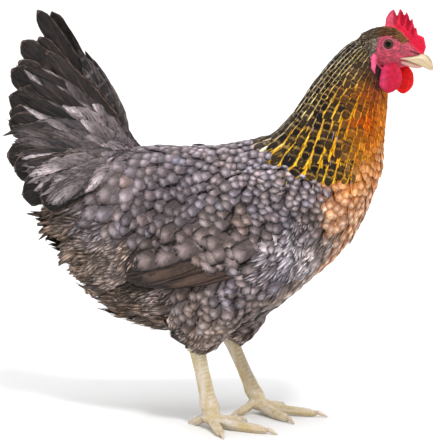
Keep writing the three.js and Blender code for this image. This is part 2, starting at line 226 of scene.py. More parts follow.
def ball(centre, radii, axes=None, around=32, rings=20):
    """An ellipsoid. Each row of axes is the direction of one radius."""
    lat = np.linspace(0, np.pi, rings + 1)[1:-1]
    lon = np.linspace(0, 2 * np.pi, around, endpoint=False)
    shares = [(np.sin(lat), np.cos(lon)), (np.sin(lat), np.sin(lon)), (np.cos(lat), lon * 0 + 1)]
    ring = np.stack([np.outer(*pair) for pair in shares], -1).reshape(-1, 3)
    v = np.concatenate([ring, [[0, 0, 1], [0, 0, -1]]]) * np.asarray(radii, float)
    v = v @ (np.eye(3) if axes is None else np.asarray(axes, float)) + np.asarray(centre, float)
    top, bottom = len(ring), len(ring) + 1
    a, b, _, _ = between(0, 1, around)
    t = [faces_of(top, a, b)]
    for k in range(rings - 2):
        a, b, c, d = between(k, k + 1, around)
        t += [faces_of(a, c, d), faces_of(a, d, b)]
    _, _, a, b = between(0, rings - 2, around)
    t.append(faces_of(a, bottom, b))
    return v, np.concatenate(t)


def across(direction):
    """Two unit directions at right angles to this one and to each other."""
    d = unit(np.asarray(direction, float))
    a = unit(np.cross(d, [0, 0, 1.0] if abs(d[2]) < 0.9 else [1.0, 0, 0]))
    return a, np.cross(d, a)


def bands(rings, around, closed=False):
    """Triangles between rings, also from the last to the first if closed."""
    t = []
    for k in range(rings if closed else rings - 1):
        a, b, c, d = between(k, (k + 1) % rings, around)
        t += [faces_of(a, b, d), faces_of(a, d, c)]
    return t


def caps(rings, around):
    """Triangles that close the first ring and the last, to the two corners that follow the rings."""
    first, last = rings * around, rings * around + 1
    a, b, c, d = between(0, rings - 1, around)
    return [faces_of(first, b, a), faces_of(last, c, d)]


def tube(points, radii, closed=False, around=14):
    """A round tube along these points, with domed ends, or a ring if closed."""
    p = np.asarray(points, float)
    run = unit(np.roll(p, -1, 0) - np.roll(p, 1, 0)) if closed else unit(np.gradient(p, axis=0))
    side = np.zeros_like(p)
    side[0] = across(run[0])[0]
    for i in range(1, len(p)):
        side[i] = unit(side[i - 1] - run[i] * dot(side[i - 1], run[i]))
    other = np.cross(run, side)
    angle = np.linspace(0, 2 * np.pi, around, endpoint=False)
    r = np.broadcast_to(np.asarray(radii, float), (len(p),))[:, None, None]
    v = p[:, None] + r * (side[:, None] * np.cos(angle)[:, None] + other[:, None] * np.sin(angle)[:, None])
    v = v.reshape(-1, 3)
    if closed:
        return v, np.concatenate(bands(len(p), around, closed))
    t = bands(len(p), around) + caps(len(p), around)
    return np.concatenate([v, p[[0]], p[[-1]]]), np.concatenate(t)


class Ground:
    """A closed surface that feathers are laid on."""

    def __init__(self, v, t):
        self.v, self.t, self.n = v, t, normals(v, t)
        self.n = unit(relaxed(self.n, t, 6, shrink=True))
        self.tree = BVHTree.FromPolygons(v.tolist(), t.tolist())

    def snap(self, points):
        """The nearest places on the surface, and the way up there."""
        flat = points.reshape(-1, 3)
        place, face = np.empty_like(flat), np.empty(len(flat), int)
        find = self.tree.find_nearest
        for i, p in enumerate(flat.tolist()):
            hit = find(p)
            place[i], face[i] = hit[0], hit[2]
        a, b, c = (self.v[self.t[face, k]] for k in range(3))
        whole = np.linalg.norm(np.cross(b - a, c - a), axis=1) + 1e-12
        wa = np.linalg.norm(np.cross(b - place, c - place), axis=1) / whole
        wb = np.linalg.norm(np.cross(c - place, a - place), axis=1) / whole
        wc = np.clip(1 - wa - wb, 0, 1)
        up = sum(w[:, None] * self.n[self.t[face, k]] for k, w in enumerate((wa, wb, wc)))
        return place.reshape(points.shape), unit(up).reshape(points.shape)


def nearest(form, points, reach=1e9):
    """How far each point is from a form's surface, up to reach."""
    tree = BVHTree.FromPolygons(form[0].tolist(), form[1].tolist())
    far = np.full(len(points), reach, float)
    for i, p in enumerate(points.tolist()):
        hit = tree.find_nearest(p, reach)
        if hit[0] is not None:
            far[i] = hit[3]
    return far


# ---- colours -------------------------------------------------------------------------------------

INK = colour(24, 20, 22)
SHADE = colour(58, 48, 48)
IVORY = colour(212, 197, 168)
RED = colour(210, 6, 54)
ROSE = colour(176, 62, 82)
PINK = colour(214, 84, 124)
SCARLET = colour(228, 8, 12)


def feather(base, tip, rim, mark=SHADE):
    """The colours of a feather's mostly hidden base, darker where it shows beside the feather above as
    painted shade, its end, its edge and the marks on it.
    """
    return np.array([colour(*base), colour(*tip), colour(*rim), mark])


MAUVE = feather((96, 86, 88), (146, 133, 137), (112, 94, 84))
UMBER_NECK = feather((70, 44, 24), (130, 84, 38), (176, 124, 54), INK)
LAVENDER = feather((104, 93, 98), (158, 147, 155), (78, 69, 75))
ASH = feather((92, 82, 85), (140, 128, 132), (68, 59, 63))
SMOKE = feather((80, 70, 73), (126, 114, 117), (60, 52, 55))
TAUPE = feather((88, 76, 72), (142, 127, 122), (70, 58, 54))
BLEACHED = feather((160, 150, 153), (208, 198, 202), (190, 180, 184))
QUILL = feather((76, 59, 50), (80, 62, 53), (48, 36, 31), colour(54, 41, 36))
TAIL = feather((24, 18, 17), (40, 33, 32), (92, 76, 68), colour(22, 18, 20))
TAIL_BARRED = feather((84, 74, 74), (112, 102, 102), (120, 108, 104), colour(26, 22, 24))
TAIL_COVERT = feather((84, 75, 77), (152, 141, 144), (124, 114, 114))
WINGED = feather((78, 67, 64), (134, 119, 117), (48, 39, 36))
CROWN = feather((112, 74, 40), (164, 104, 56), (160, 122, 86))
BROW = feather((78, 52, 34), (112, 70, 38), (136, 100, 62), INK)
TEMPLE = feather((66, 54, 48), (104, 92, 80), (150, 132, 104), INK)
EAR = feather((104, 94, 84), (158, 148, 132), (160, 148, 130))
# painted shade: near-black purple feathers for the shadow behind and below the earlobes and wattles
PAINTED_LOBE_SHADE = feather((36, 20, 28), (52, 28, 38), (72, 42, 44), INK)
NAPE = feather((74, 64, 54), (140, 124, 98), (220, 204, 168), INK)
NET = feather((70, 58, 44), (126, 106, 74), (222, 196, 124), INK)
STRIPED = feather((84, 64, 38), (140, 108, 52), (246, 186, 42), INK)
OCHRE = feather((120, 78, 26), (158, 104, 30), (220, 148, 26), INK)
FIRE = feather((128, 46, 0), (178, 76, 8), (214, 112, 18), colour(70, 36, 16))
AMBER = feather((150, 78, 16), (202, 118, 34), (226, 138, 22), colour(90, 56, 30))
PEACH = feather((160, 98, 52), (216, 160, 114), (232, 138, 52))
BLUSH = feather((150, 104, 76), (220, 176, 146), (222, 150, 92))
SANDY = feather((122, 106, 100), (190, 174, 167), (170, 144, 122))
DOWNY = feather((76, 64, 60), (148, 132, 124), (162, 142, 126))
DOWNY_BROWN = feather((70, 57, 49), (146, 124, 110), (168, 142, 118))

# ---- the coat's plan -----------------------------------------------------------------------------
# One row for each part of the coat. Between rows the values blend. The place is x, half width and z;
# lie is x and z of the way it lies. Then length, width, distance apart, how much longer the spacing is
# along the lie, how pointed, how far the tip stands out, the depth of the skin, the share of loose
# strands, the strength of the bars, the width of the edge, and the colours. The neck's feathers grow in
# columns that give them their lie, width and spacing.

FIELDS = "long wide every stretch point lift depth loose bar lace".split()
NECK_FIELDS = "long point lift depth bar lace".split()
TINTS = "base tip rim mark".split()
BARS = 2  # how many a feather of the body has
BODY_COAT = [
    # head
    ((184, 5, 389), (-1, 0.35), 4.5, 2.2, 1.4, 1.1, 0.3, 0.3, 0.7, 0, 0.3, 0.4, CROWN),
    ((170, 6, 394), (-1, 0), 5.5, 2.6, 1.6, 1.1, 0.3, 0.3, 0.8, 0, 0.5, 0.4, CROWN),
    ((166, 14, 388), (-1, -0.15), 5.5, 2.4, 1.5, 1.2, 0.3, 0.3, 0.8, 0, 0.3, 0.3, BROW),
    ((150, 12, 386), (-0.8, -0.5), 7, 3, 2, 1.2, 0.3, 0.4, 1, 0, 0.8, 0.4, TEMPLE),
    ((159, 18, 368), (-0.6, -0.8), 7, 2.8, 1.8, 1.3, 0.4, 0.6, 1, 0.3, 0, 0.4, EAR),
    ((157, 17, 372), (-0.6, -0.8), 7, 2.8, 1.8, 1.3, 0.4, 0.5, 1, 0.3, 0, 0.4, EAR),
    # painted shade behind and below the earlobe
    ((152, 17, 360), (-0.5, -0.85), 9, 3, 2, 1.3, 0.5, 0.4, 1, 0, 0.3, 0.3, PAINTED_LOBE_SHADE),
    ((160, 18, 342), (-0.2, -0.95), 11, 3.6, 2.4, 1.3, 0.4, 0.4, 1.4, 0, 0.3, 0.3, PAINTED_LOBE_SHADE),
    # breast
    ((152, 34, 264), (-0.12, -1), 17, 10, 7.2, 0.85, 0.1, 1, 4, 0, 0, 0.22, PEACH),
    ((166, 10, 258), (-0.1, -1), 17, 10, 7.2, 0.85, 0.1, 1, 4, 0, 0, 0.22, PEACH),
    ((138, 46, 238), (-0.2, -1), 18, 11, 8, 0.85, 0.1, 1, 4.6, 0, 0, 0.22, PEACH),
    ((152, 14, 218), (-0.35, -0.95), 19, 11.4, 8.3, 0.85, 0.1, 1, 4.6, 0, 0, 0.22, BLUSH),
    ((124, 48, 205), (-0.45, -0.9), 20, 12, 8.8, 0.85, 0.1, 1, 5, 0, 0, 0.22, BLUSH),
    ((122, 14, 172), (-0.8, -0.6), 21, 12.5, 9.2, 0.85, 0.1, 1, 6, 0.2, 0, 0.22, BLUSH),
    ((100, 52, 172), (-0.8, -0.55), 24, 12, 7, 1, 0.1, 1.6, 6, 0.2, 0, 0.18, SANDY),
    ((80, 20, 130), (-0.9, -0.4), 24, 13, 7.8, 1, 0.15, 1.4, 6, 0.1, 0.2, 0.18, SANDY),
    # belly, vent and rear
    ((38, 20, 98), (-1, -0.15), 26, 13, 8.6, 1.1, 0.2, 1.6, 8, 0.3, 0.3, 0.18, TAUPE),
    ((-15, 25, 94), (-1, -0.15), 30, 14, 9, 1.1, 0.2, 4, 9, 0.9, 0, 0.2, DOWNY),
    ((-58, 28, 104), (-1, -0.15), 34, 15, 9, 1.1, 0.2, 8, 9, 1, 0, 0.2, DOWNY_BROWN),
    ((-100, 24, 124), (-0.95, -0.35), 34, 15, 9, 1.1, 0.2, 9.5, 9, 1, 0, 0.2, DOWNY_BROWN),
    ((-138, 18, 162), (-0.9, -0.4), 34, 14, 9, 1.1, 0.3, 10, 9, 1, 0, 0.2, DOWNY_BROWN),
    ((-160, 8, 200), (-0.95, -0.3), 54, 15, 9, 1.1, 0.4, 5, 8, 0.7, 0, 0.2, DOWNY_BROWN),
    # rump and flanks
    ((-58, 54, 138), (-0.85, -0.55), 26, 14, 8.6, 0.9, 0.1, 1.8, 8, 0.3, 0, 0.18, TAUPE),
    ((-108, 38, 165), (-0.95, -0.3), 30, 14, 9, 1, 0.1, 3.5, 8, 0.8, 0, 0.3, DOWNY),
    ((-140, 28, 205), (-0.96, -0.28), 58, 18, 9, 2, 0.35, 3, 8, 0.4, 0, 0.18, MAUVE),
    ((-110, 42, 205), (-0.92, -0.35), 40, 16, 9, 1.5, 0.15, 2, 7, 0.25, 0, 0.18, MAUVE),
    ((-75, 58, 205), (-0.75, -0.6), 21.1, 14.4, 10.4, 0.72, 0, 1.08, 7, 0.1, 0, 0.18, SMOKE),
    ((-112, 36, 245), (-1, -0.02), 46, 17, 9, 2, 0.2, 1.8, 7, 0.1, 0, 0.18, MAUVE),
    ((-95, 14, 272), (-0.85, 0.45), 42, 16, 9, 1.5, 0.2, 1.5, 7, 0.05, 0, 0.18, ASH),
    # back and saddle
    ((-50, 25, 276), (-0.95, -0.1), 23.1, 14.4, 10.4, 0.72, 0, 0.86, 6, 0.03, 0.2, 0.18, LAVENDER),
    ((-50, 52, 245), (-0.75, -0.55), 20.1, 14.4, 10.4, 0.72, 0, 1.01, 6, 0.03, 0, 0.18, SMOKE),
    ((0, 30, 280), (-0.9, -0.3), 19.2, 13.4, 9.7, 0.72, 0, 0.94, 6, 0.03, 0.1, 0.18, LAVENDER),
    ((0, 60, 255), (-0.6, -0.75), 18.2, 13.4, 9.7, 0.72, 0, 1.08, 6, 0.03, 0, 0.18, ASH),
    ((40, 38, 284), (-0.85, -0.45), 18.2, 12.3, 8.9, 0.72, 0, 0.94, 6, 0, 0.2, 0.18, LAVENDER),
    ((60, 62, 262), (-0.4, -0.9), 17, 9.6, 6.6, 0.95, 0, 0.7, 6, 0, 0, 0.18, LAVENDER),
    # wing
    ((96, 66, 238), (-0.2, -1), 14, 10, 7.2, 0.72, 0, 1.08, 4, 0, 0, 0.18, LAVENDER),
    ((104, 60, 208), (-0.35, -0.95), 14, 9.6, 6.9, 0.72, 0, 1.08, 4, 0, 0, 0.18, TAUPE),
    # painted shade: dark feathers for the shadowed gap below the wing's front end
    ((100, 62, 188), (-0.5, -0.85), 20, 10, 6.6, 1, 0.1, 1.4, 5, 0.5, 0, 0.18, SMOKE),
    ((60, 80, 228), (-0.35, -0.93), 15, 11, 7.9, 0.72, 0, 1.22, 4, 0, 0, 0.18, ASH),
    ((60, 78, 200), (-0.4, -0.9), 15.5, 12, 8.6, 0.72, 0, 1.22, 4, 0, 0, 0.18, SMOKE),
    ((10, 80, 230), (-0.5, -0.85), 17.5, 14, 10, 0.72, 0, 1.3, 4, 0, 0, 0.18, ASH),
    ((-30, 76, 205), (-0.6, -0.8), 21.1, 16.3, 11.8, 0.72, 0, 1.3, 4, 0, 0, 0.18, SMOKE),
    ((20, 80, 195), (-0.65, -0.75), 23.1, 18.2, 13.2, 0.72, 0, 1.3, 4, 0, 0, 0.18, WINGED),
    # flank under the wing, and the legs
    ((78, 68, 162), (-0.85, -0.45), 34, 16, 9, 1.1, 0.2, 4, 6, 1, 0, 0.3, BLEACHED),
    ((90, 58, 158), (-0.85, -0.45), 34, 16, 9, 1.1, 0.2, 4, 6, 1, 0, 0.3, BLEACHED),
    ((70, 68, 148), (-0.6, -0.75), 24, 13, 7.6, 0.9, 0.1, 1.8, 6, 0.15, 0, 0.18, LAVENDER),
    ((25, 70, 130), (-0.45, -0.9), 19.2, 12.3, 8.9, 0.72, 0, 1.3, 7, 0.05, 0, 0.18, ASH),
    ((34, 66, 110), (-0.5, -0.8), 19.2, 11.5, 8.3, 0.72, 0, 1.15, 6, 0.05, 0.3, 0.18, TAUPE),
    ((-20, 66, 120), (-0.5, -0.85), 19.2, 12.3, 8.9, 0.72, 0, 1.3, 7, 0.1, 0.2, 0.18, TAUPE),
    ((8, 55, 88), (-0.25, -1), 16, 9, 5.6, 1, 0.1, 1.2, 3, 0.1, 0.4, 0.18, SANDY),
]
NECK_COAT = [
    # nape to the back
    ((136, 8, 378), 12, -0.3, 0.5, 1.4, 1, 0.34, NAPE),
    ((120, 10, 364), 17, -0.3, 0.6, 2, 1, 0.34, NAPE),
    ((98, 12, 340), 24, -0.3, 0.7, 3, 1, 0.34, NAPE),
    ((76, 14, 315), 32, -0.3, 0.8, 4, 1, 0.34, NAPE),
    ((50, 18, 294), 36, 0, 1, 4.6, 0.9, 0.34, NAPE),
    # side of the neck
    ((142, 20, 357), 13, -0.3, 0.5, 1.6, 0.9, 0.38, NET),
    ((124, 24, 338), 20, -0.3, 0.6, 2.4, 1, 0.38, NET),
    ((94, 30, 308), 32, -0.3, 0.9, 3.6, 1, 0.38, NET),
    ((118, 36, 312), 30, -0.3, 0.9, 3.6, 1, 0.39, STRIPED),
    ((84, 48, 276), 38, 0, 1.2, 4.6, 1, 0.39, STRIPED),
    ((116, 52, 264), 38, 0, 1.3, 4.6, 1, 0.39, STRIPED),
    ((138, 34, 322), 22, -0.3, 0.7, 3, 0.8, 0.34, OCHRE),
    ((138, 48, 272), 28, -0.3, 0.9, 4, 0.6, 0.3, OCHRE),
    # throat and front of the neck
    # painted shade under the earlobe and the wattle
    ((152, 20, 350), 13, 0.5, 0.5, 1.8, 0.35, 0.26, PAINTED_LOBE_SHADE),
    ((147, 25, 340), 15, 0.5, 0.5, 1.8, 0.4, 0.28, UMBER_NECK),
    ((159, 23, 326), 14, 0.5, 0.5, 1.8, 0.3, 0.28, PAINTED_LOBE_SHADE),
    ((162, 17, 341), 13, 0.5, 0.5, 1.6, 0.4, 0.3, PAINTED_LOBE_SHADE),
    ((172, 6, 338), 9, 0.4, 0.4, 1.4, 0.2, 0.4, AMBER),
    ((154, 28, 322), 15, 0, 0.6, 2.2, 0.4, 0.4, FIRE),
    ((172, 12, 316), 13, 0, 0.6, 2.2, 0.3, 0.4, AMBER),
    ((153, 36, 296), 17, 0, 0.6, 2.8, 0.4, 0.4, FIRE),
    ((170, 14, 288), 15, 0, 0.8, 3.2, 0.2, 0.36, AMBER),
    ((156, 40, 268), 17, 0, 0.8, 3.4, 0.3, 0.34, AMBER),
    ((168, 12, 258), 15, 0.15, 0.8, 3.6, 0, 0.26, PEACH),
    ((154, 40, 246), 16, 0.2, 0.9, 3.8, 0, 0.26, PEACH),
]
COAT = BODY_COAT + NECK_COAT
ON_BODY = np.arange(len(COAT)) < len(BODY_COAT)
PLACES = np.array([row[0] for row in COAT], float)
COLOURS = np.array([row[-1] for row in COAT], float)
LIES = np.zeros((len(COAT), 3))
LIES[ON_BODY] = [(x, 0, z) for _, (x, z), *_ in BODY_COAT]
VALUES = np.zeros((len(COAT), len(FIELDS)))
VALUES[ON_BODY] = [row[2:-1] for row in BODY_COAT]
VALUES[np.ix_(~ON_BODY, [FIELDS.index(field) for field in NECK_FIELDS])] = [row[1:-1] for row in NECK_COAT]
REACH = np.clip(VALUES[:, FIELDS.index("long")] * 1.1, 7, 26)  # how far a row's say goes


def column(field):
    return VALUES[:, FIELDS.index(field)]


def says(points, soft=1.2, use=True):
    """Each row's share in the coat at these points, of the rows in use."""
    p = np.stack([points[:, 0], np.abs(points[:, 1]), points[:, 2]], 1)
    d = np.where(use, ((p[:, None] - PLACES) ** 2).sum(-1) / REACH**2, 1e6)
    w = np.exp(-(d - d.min(1, keepdims=True)) / soft)
    return w / w.sum(1, keepdims=True)


def lie_of(points):
    return unit(says(points, use=ON_BODY) @ LIES)


def values_at(points, use):
    """The plan's values at these points, by field."""
    return dict(zip(FIELDS, (says(points, use=use) @ VALUES).T))


# ---- the outline that the coat fills, and the skin under it --------------------------------------

FLESH = ["trunk", "neck", "head", "thigh_left", "thigh_right", "wing_left", "wing_right"]
CLOSE = 0.35  # mm each form grows, to close the gaps between them

outline = remeshed([node_form(n, CLOSE) for n in FLESH], 2.4, 10)
ground = Ground(*outline)
wings = {word: node_form("wing_" + word) for word in SIDES}


def body_skin():
    """The skin under the coat: the outline, drawn in by the coat's depth and a little more."""
    more = 1.2
    depth = says(ground.v) @ column("depth")
    return remeshed([(ground.v - ground.n * (depth + more)[:, None], ground.t)], 2.6, 6)


def eye_axis(side):
    """The way an eye looks, in the bird's frame."""
    return unit(on_head([0.16, side, 0.03]) - on_head([0, 0, 0]))


def eye_centre(side):
    return on_head([EYE["x"], side * EYE["y"], EYE["z"]])


FLESHY = ("comb", "wattle_left", "wattle_right")
LOBES = ("earlobe_left", "earlobe_right")
LID_RINGS = ((5.3, 0.95, 4.75), (6.9, 0.7, 3.9))  # radius, thickness, how far ahead of the eye's middle


def comb_form():
    """The comb, thinner towards its points."""
    v, t = node_form("comb", 0.1)
    local = in_head(v)
    local[:, 1] *= 1 - 0.66 * ease(382, 397, local[:, 2])
    return on_head(local), t


def lid_forms(side):
    """The flesh behind an eye and the rings of skin round it."""
    out, at = eye_axis(side), eye_centre(side)
    right, up = across(out)
    turn = np.linspace(0, 2 * np.pi, 40, endpoint=False)[:, None]
    forms = [ball(at, [EYE["radius"] - 0.6] * 3)]
    for radius, thick, ahead in LID_RINGS:
        ring = at + out * ahead + radius * (right * np.cos(turn) * 1.04 + up * np.sin(turn) * 0.96)
        forms.append(tube(ring, thick, closed=True))
    return forms


def comb_cuts():
    """The notches between the comb's points."""
    cuts = []
    for (top_x, top_z), (low_x, low_z), half in COMB_CUTS:
        top, low = np.array([top_x, 0, top_z]), np.array([low_x, 0, low_z])
        run = unit(top - low)
        axes = unit(on_head([[-run[2], 0, run[0]], [0, 1, 0], run]) - on_head([0, 0, 0]))
        cuts.append(ball(on_head(top), (half, 9, np.linalg.norm(top - low)), axes))
    return cuts


def eye_cuts(side):
    """The eye's socket and the opening between its lids."""
    out, at = eye_axis(side), eye_centre(side)
    right, up = across(out)
    return [
        ball(at, [EYE["radius"] + 0.12] * 3, around=48, rings=32),
        ball(at + out * 7.2, (4.7, 4.35, 3.4), (right, up, out), around=48, rings=32),
    ]


def head_relief(v):
    """How far the head's skin stands out, in mm: pebbled flesh, folded face, sunk under the feathers."""
    local = in_head(v)
    fleshy = 1 - ease(0.5, 2.0, np.minimum.reduce([nearest(node_form(name), v, 3) for name in FLESHY]))
    lobes = np.minimum(*[nearest(node_form(name), v, 3) for name in LOBES])
    bare = bare_face(v)
    pebble = grain(v, 1.7) * 0.22 + grain(v, 0.9, 3) * 0.1
    fold = grain(v * [0.6, 1, 1.7], 2.6, 5) * 0.34 + grain(v, 1.1, 7) * 0.12
    off_rim = np.abs(np.hypot(local[:, 0] - EYE["x"], local[:, 2] - EYE["z"]) - 8.6)
    crease = -0.35 * np.exp(-((off_rim / 0.7) ** 2)) * (np.abs(local[:, 1]) > 12)
    push = blend(bare * (fold + crease) - (1 - bare) * 0.8, pebble, fleshy)
    return push * ease(0.3, 1.5, lobes) + 0.05


def head_skin():
    parts = [node_form(n, 0.25) for n in ("head", "wattle_left", "wattle_right")]
    parts.append(comb_form())
    parts += [node_form(n, -0.3) for n in LOBES]
    parts.append(ball(on_head([-9, 0, 366]), (11, 14, 16)))  # the top of the neck
    cuts = [mouth_block(), *comb_cuts()]
    for side in SIDES.values():
        parts += lid_forms(side)
        cuts += eye_cuts(side)
    v, t = remeshed(parts, 0.7, 6)
    v = v + normals(v, t) * head_relief(v)[:, None]
    return boolean((v, t), cuts, "DIFFERENCE")


def mouth_block():
    """The room for the bill: everything in front of the face from the horn's upper edge down."""
    half = 22
    rows = [(31, 363.4, 351), (34, 364.4, 346), (40, 365.8, 345), (46, 366.8, 345), (60, 367.2, 345)]
    corners = [((-half, low), (half, low), (half, top), (-half, top)) for _, top, low in rows]
    v = on_head([(row[0], y, z) for row, ring in zip(rows, corners) for y, z in ring])
    ends = np.array([[0, 2, 1], [0, 3, 2], [16, 17, 18], [16, 18, 19]])
    return v, np.concatenate([ends, *bands(len(rows), 4)])


def bare_face(points):
    """1 on the bare skin of the face, 0 under the head's feathers."""
    p = in_head(points)
    x, z = p[:, 0], p[:, 2]
    top_x = [2, 5, 9, 14, 20, 24, 27, 30, 33, 36]
    top = np.interp(x, top_x, [377, 381, 384, 386, 384.5, 381, 378, 377, 380, 392])
    back = np.interp(z, [344, 350, 358, 366, 370, 378, 386], [3, -1, -3, -2.5, 4, 5, 7])
    edge = np.minimum.reduce([top - z, x - back, z - 347])
    beak_root = ease(31, 33, x) * ease(399, 395, z)
    return np.maximum(ease(-0.6, 0.8, edge), beak_root)


LEGS = {  # a toe has its heading, in degrees to the left of straight ahead, and its length
    "right": {
        "hock": (-15.5, -39, 92),
        "ball": (2, -39, 13),
        "toes": {"back": (150, 23), "inner": (50, 38), "middle": (-16, 61), "outer": (-66, 43)},
    },
    "left": {
        "hock": (1, 39, 88),
        "ball": (35.5, 39, 13),
        "toes": {"back": (-138, 25), "inner": (-46, 54), "middle": (-5, 62), "outer": (60, 38)},
    },
}
SCUTE = 4.3  # mm from one plate to the next down the front of a shank


def along_line(p, a, b):
    """The share of the way from a to b, the distance from that line, and the way out from it."""
    a, b = np.asarray(a, float), np.asarray(b, float)
    share = ((p - a) @ (b - a)) / ((b - a) @ (b - a))
    off = p - (a + np.clip(share, -0.2, 1.2)[:, None] * (b - a))
    far = np.linalg.norm(off, axis=1)
    return share, far, off / np.maximum(far, 1e-6)[:, None]


def scutes(length_along, pitch, seed):
    """The height, from 0 to 1, of overlapping plates: each swells slowly and drops off sharply."""
    place = length_along / pitch + 0.13 * np.sin(length_along / pitch * 2.1 + seed)
    part = place % 1
    return np.sin(np.minimum(part / 0.82, 1) * np.pi * 0.62) * ease(1.0, 0.86, part)


def shank_line(leg, points):
    """along_line from hock to foot, and its length."""
    hock, foot = np.array(leg["hock"], float), np.array(leg["ball"], float)
    return *along_line(points, hock, foot), np.linalg.norm(hock - foot)


def shank_relief(share, length, out, cells):
    """Plates down the front and the back of a shank, small scales between them."""
    front = out[:, 0]
    plates = scutes(share * length, SCUTE, 1.0) * ease(-0.1, 0.45, front)
    back_plates = scutes(share * length + 2, 3.4, 2.0) * ease(0.3, 0.75, -front) * 0.7
    return 0.36 * plates + 0.4 * back_plates + 0.3 * cells * ease(0.5, 0.1, np.abs(front))


def toe_relief(v, leg, cells):
    """Plates over the nearest toe, small scales under it."""
    foot = np.array(leg["ball"], float)
    best = np.full(len(v), 1e9)
    push = np.zeros(len(v))
    for i, (heading, length) in enumerate(leg["toes"].values()):
        turn = math.radians(heading)
        start = np.array([foot[0], foot[1], 8.0])
        end = start + np.array([math.cos(turn), math.sin(turn), -0.05]) * (length + 4)
        share, far, out = along_line(v, start, end)
        top = ease(0.0, 0.5, out[:, 2])
        one = 0.55 * scutes(share * length, 3.6, i) * top + 0.25 * cells * (1 - top)
        here = far < best
        push[here], best[here] = one[here], far[here]
    return push * ease(0.4, 3.0, v[:, 2])


def leg_skin(word):
    leg = LEGS[word]
    names = ["shank_" + word] + [f"toe_{word}_{toe}" for toe in leg["toes"]]
    hock, foot = np.array(leg["hock"], float), np.array(leg["ball"], float)
    up = unit(hock - foot)
    core = tube([hock + up * far for far in (-18, -6, 6, 20)], [6.2, 7.2, 7.2, 6])
    web = ball(foot + [2, 0, -3.5], (11, 11, 6.5))
    v, t = remeshed([node_form(n, 0.3) for n in names] + [core, web], 0.62, 6)
    share, _, out, length = shank_line(leg, v)
    cells = 0.5 + 0.5 * grain(v, 1.5, 2)
    on_shank = ease(1.06, 0.94, share)
    push = blend(toe_relief(v, leg, cells), shank_relief(share, length, out, cells), on_shank)
    v = v + normals(v, t) * (push - 0.25)[:, None]
    v[:, 2] = np.maximum(v[:, 2], 0.0)
    return v, t


body_form = body_skin()
head_form = head_skin()
leg_forms = [leg_skin(word) for word in SIDES]
skin_form = boolean(body_form, [head_form, *leg_forms], "UNION")


# ---- materials -----------------------------------------------------------------------------------


class Wire:
    """A node's output, so that sums of outputs can be written as sums."""

    def __init__(self, nodes, socket):
        self.nodes, self.socket = nodes, socket

    def __add__(self, other):
        return self.nodes.math("ADD", self, other)

    def __radd__(self, other):
        return self.nodes.math("ADD", other, self)

    def __sub__(self, other):
        return self.nodes.math("SUBTRACT", self, other)

    def __rsub__(self, other):
        return self.nodes.math("SUBTRACT", other, self)

    def __mul__(self, other):
        return self.nodes.math("MULTIPLY", self, other)


class Nodes:
    """Short words for building one material."""

    def __init__(self, name):
        self.material = bpy.data.materials.new(name)
        self.material.use_nodes = True
        self.tree = self.material.node_tree
        self.shader = self.tree.nodes["Principled BSDF"]

    def put(self, socket, value):
        if isinstance(value, Wire):
            self.tree.links.new(value.socket, socket)
        elif hasattr(value, "__len__") and len(value) == 3 and socket.type == "RGBA":
            socket.default_value = (*value, 1)
        else:
            socket.default_value = value

    def add(self, kind, settings=None, *values, **named):
        """A node with these settings, its first inputs in order and its named ones."""
        node = self.tree.nodes.new("ShaderNode" + kind)
        for key, value in (settings or {}).items():
            setattr(node, key, value)
        for i, value in enumerate(values):
            self.put(node.inputs[i], value)
        for key, value in named.items():
            self.put(node.inputs[key.replace("_", " ")], value)
        return node

    def out(self, *values, **named):
        """The first output of such a node."""
        return Wire(self, self.add(*values, **named).outputs[0])

    def parts(self, kind, value):
        return [Wire(self, socket) for socket in self.add(kind, None, value).outputs]

    def math(self, operation, a, b=0.0, clamp=False):
        return self.out("Math", {"operation": operation, "use_clamp": clamp}, a, b)

    def ease(self, low, high, x):
        values = {"From Min": low, "From Max": high}
        return self.out("MapRange", {"interpolation_type": "SMOOTHSTEP"}, Value=x, **values)

    def mix(self, share, a, b, mode="MIX"):
        node = self.add("Mix", {"data_type": "RGBA", "blend_type": mode})
        for socket, value in zip((node.inputs[0], node.inputs[6], node.inputs[7]), (share, a, b)):
            self.put(socket, value)
        return Wire(self, node.outputs[2])

    def attribute(self, name):
        """The outputs Color, Vector, Fac and Alpha of a mesh's attribute."""
        node = self.add("Attribute", {"attribute_name": name})
        return {socket.name: Wire(self, socket) for socket in node.outputs}

    def place(self):
        return Wire(self, self.add("TexCoord").outputs["Object"])

    def noise(self, vector, scale, detail=3.0, rough=0.5):
        node = self.add("TexNoise", Vector=vector, Scale=scale, Detail=detail, Roughness=rough)
        return Wire(self, node.outputs["Fac"])

    def cells(self, vector, scale, feature="F1"):
        node = self.add("TexVoronoi", {"feature": feature}, Vector=vector, Scale=scale)
        return Wire(self, node.outputs["Distance"])

    def stretched(self, vector, by):
        return self.out("VectorMath", {"operation": "MULTIPLY"}, vector, by)

    def vector(self, x, y, z):
        return self.out("CombineXYZ", None, x, y, z)

    def grey(self, tone):
        return self.out("CombineColor", None, tone, tone, tone)

    def look(self, **values):
        for key, value in values.items():
            self.put(self.shader.inputs[key.replace("_", " ")], value)

    def bump(self, *layers):
        """Each layer is a height, its strength and its depth in metres."""
        normal = None
        for height, strength, depth in layers:
            node = self.add("Bump", Height=height, Strength=strength, Distance=depth)
            if normal is not None:
                self.put(node.inputs["Normal"], normal)
            normal = Wire(self, node.outputs[0])
        self.put(self.shader.inputs["Normal"], normal)


POINTED = 10  # a look whose blunt is more than this is for narrow pointed feathers


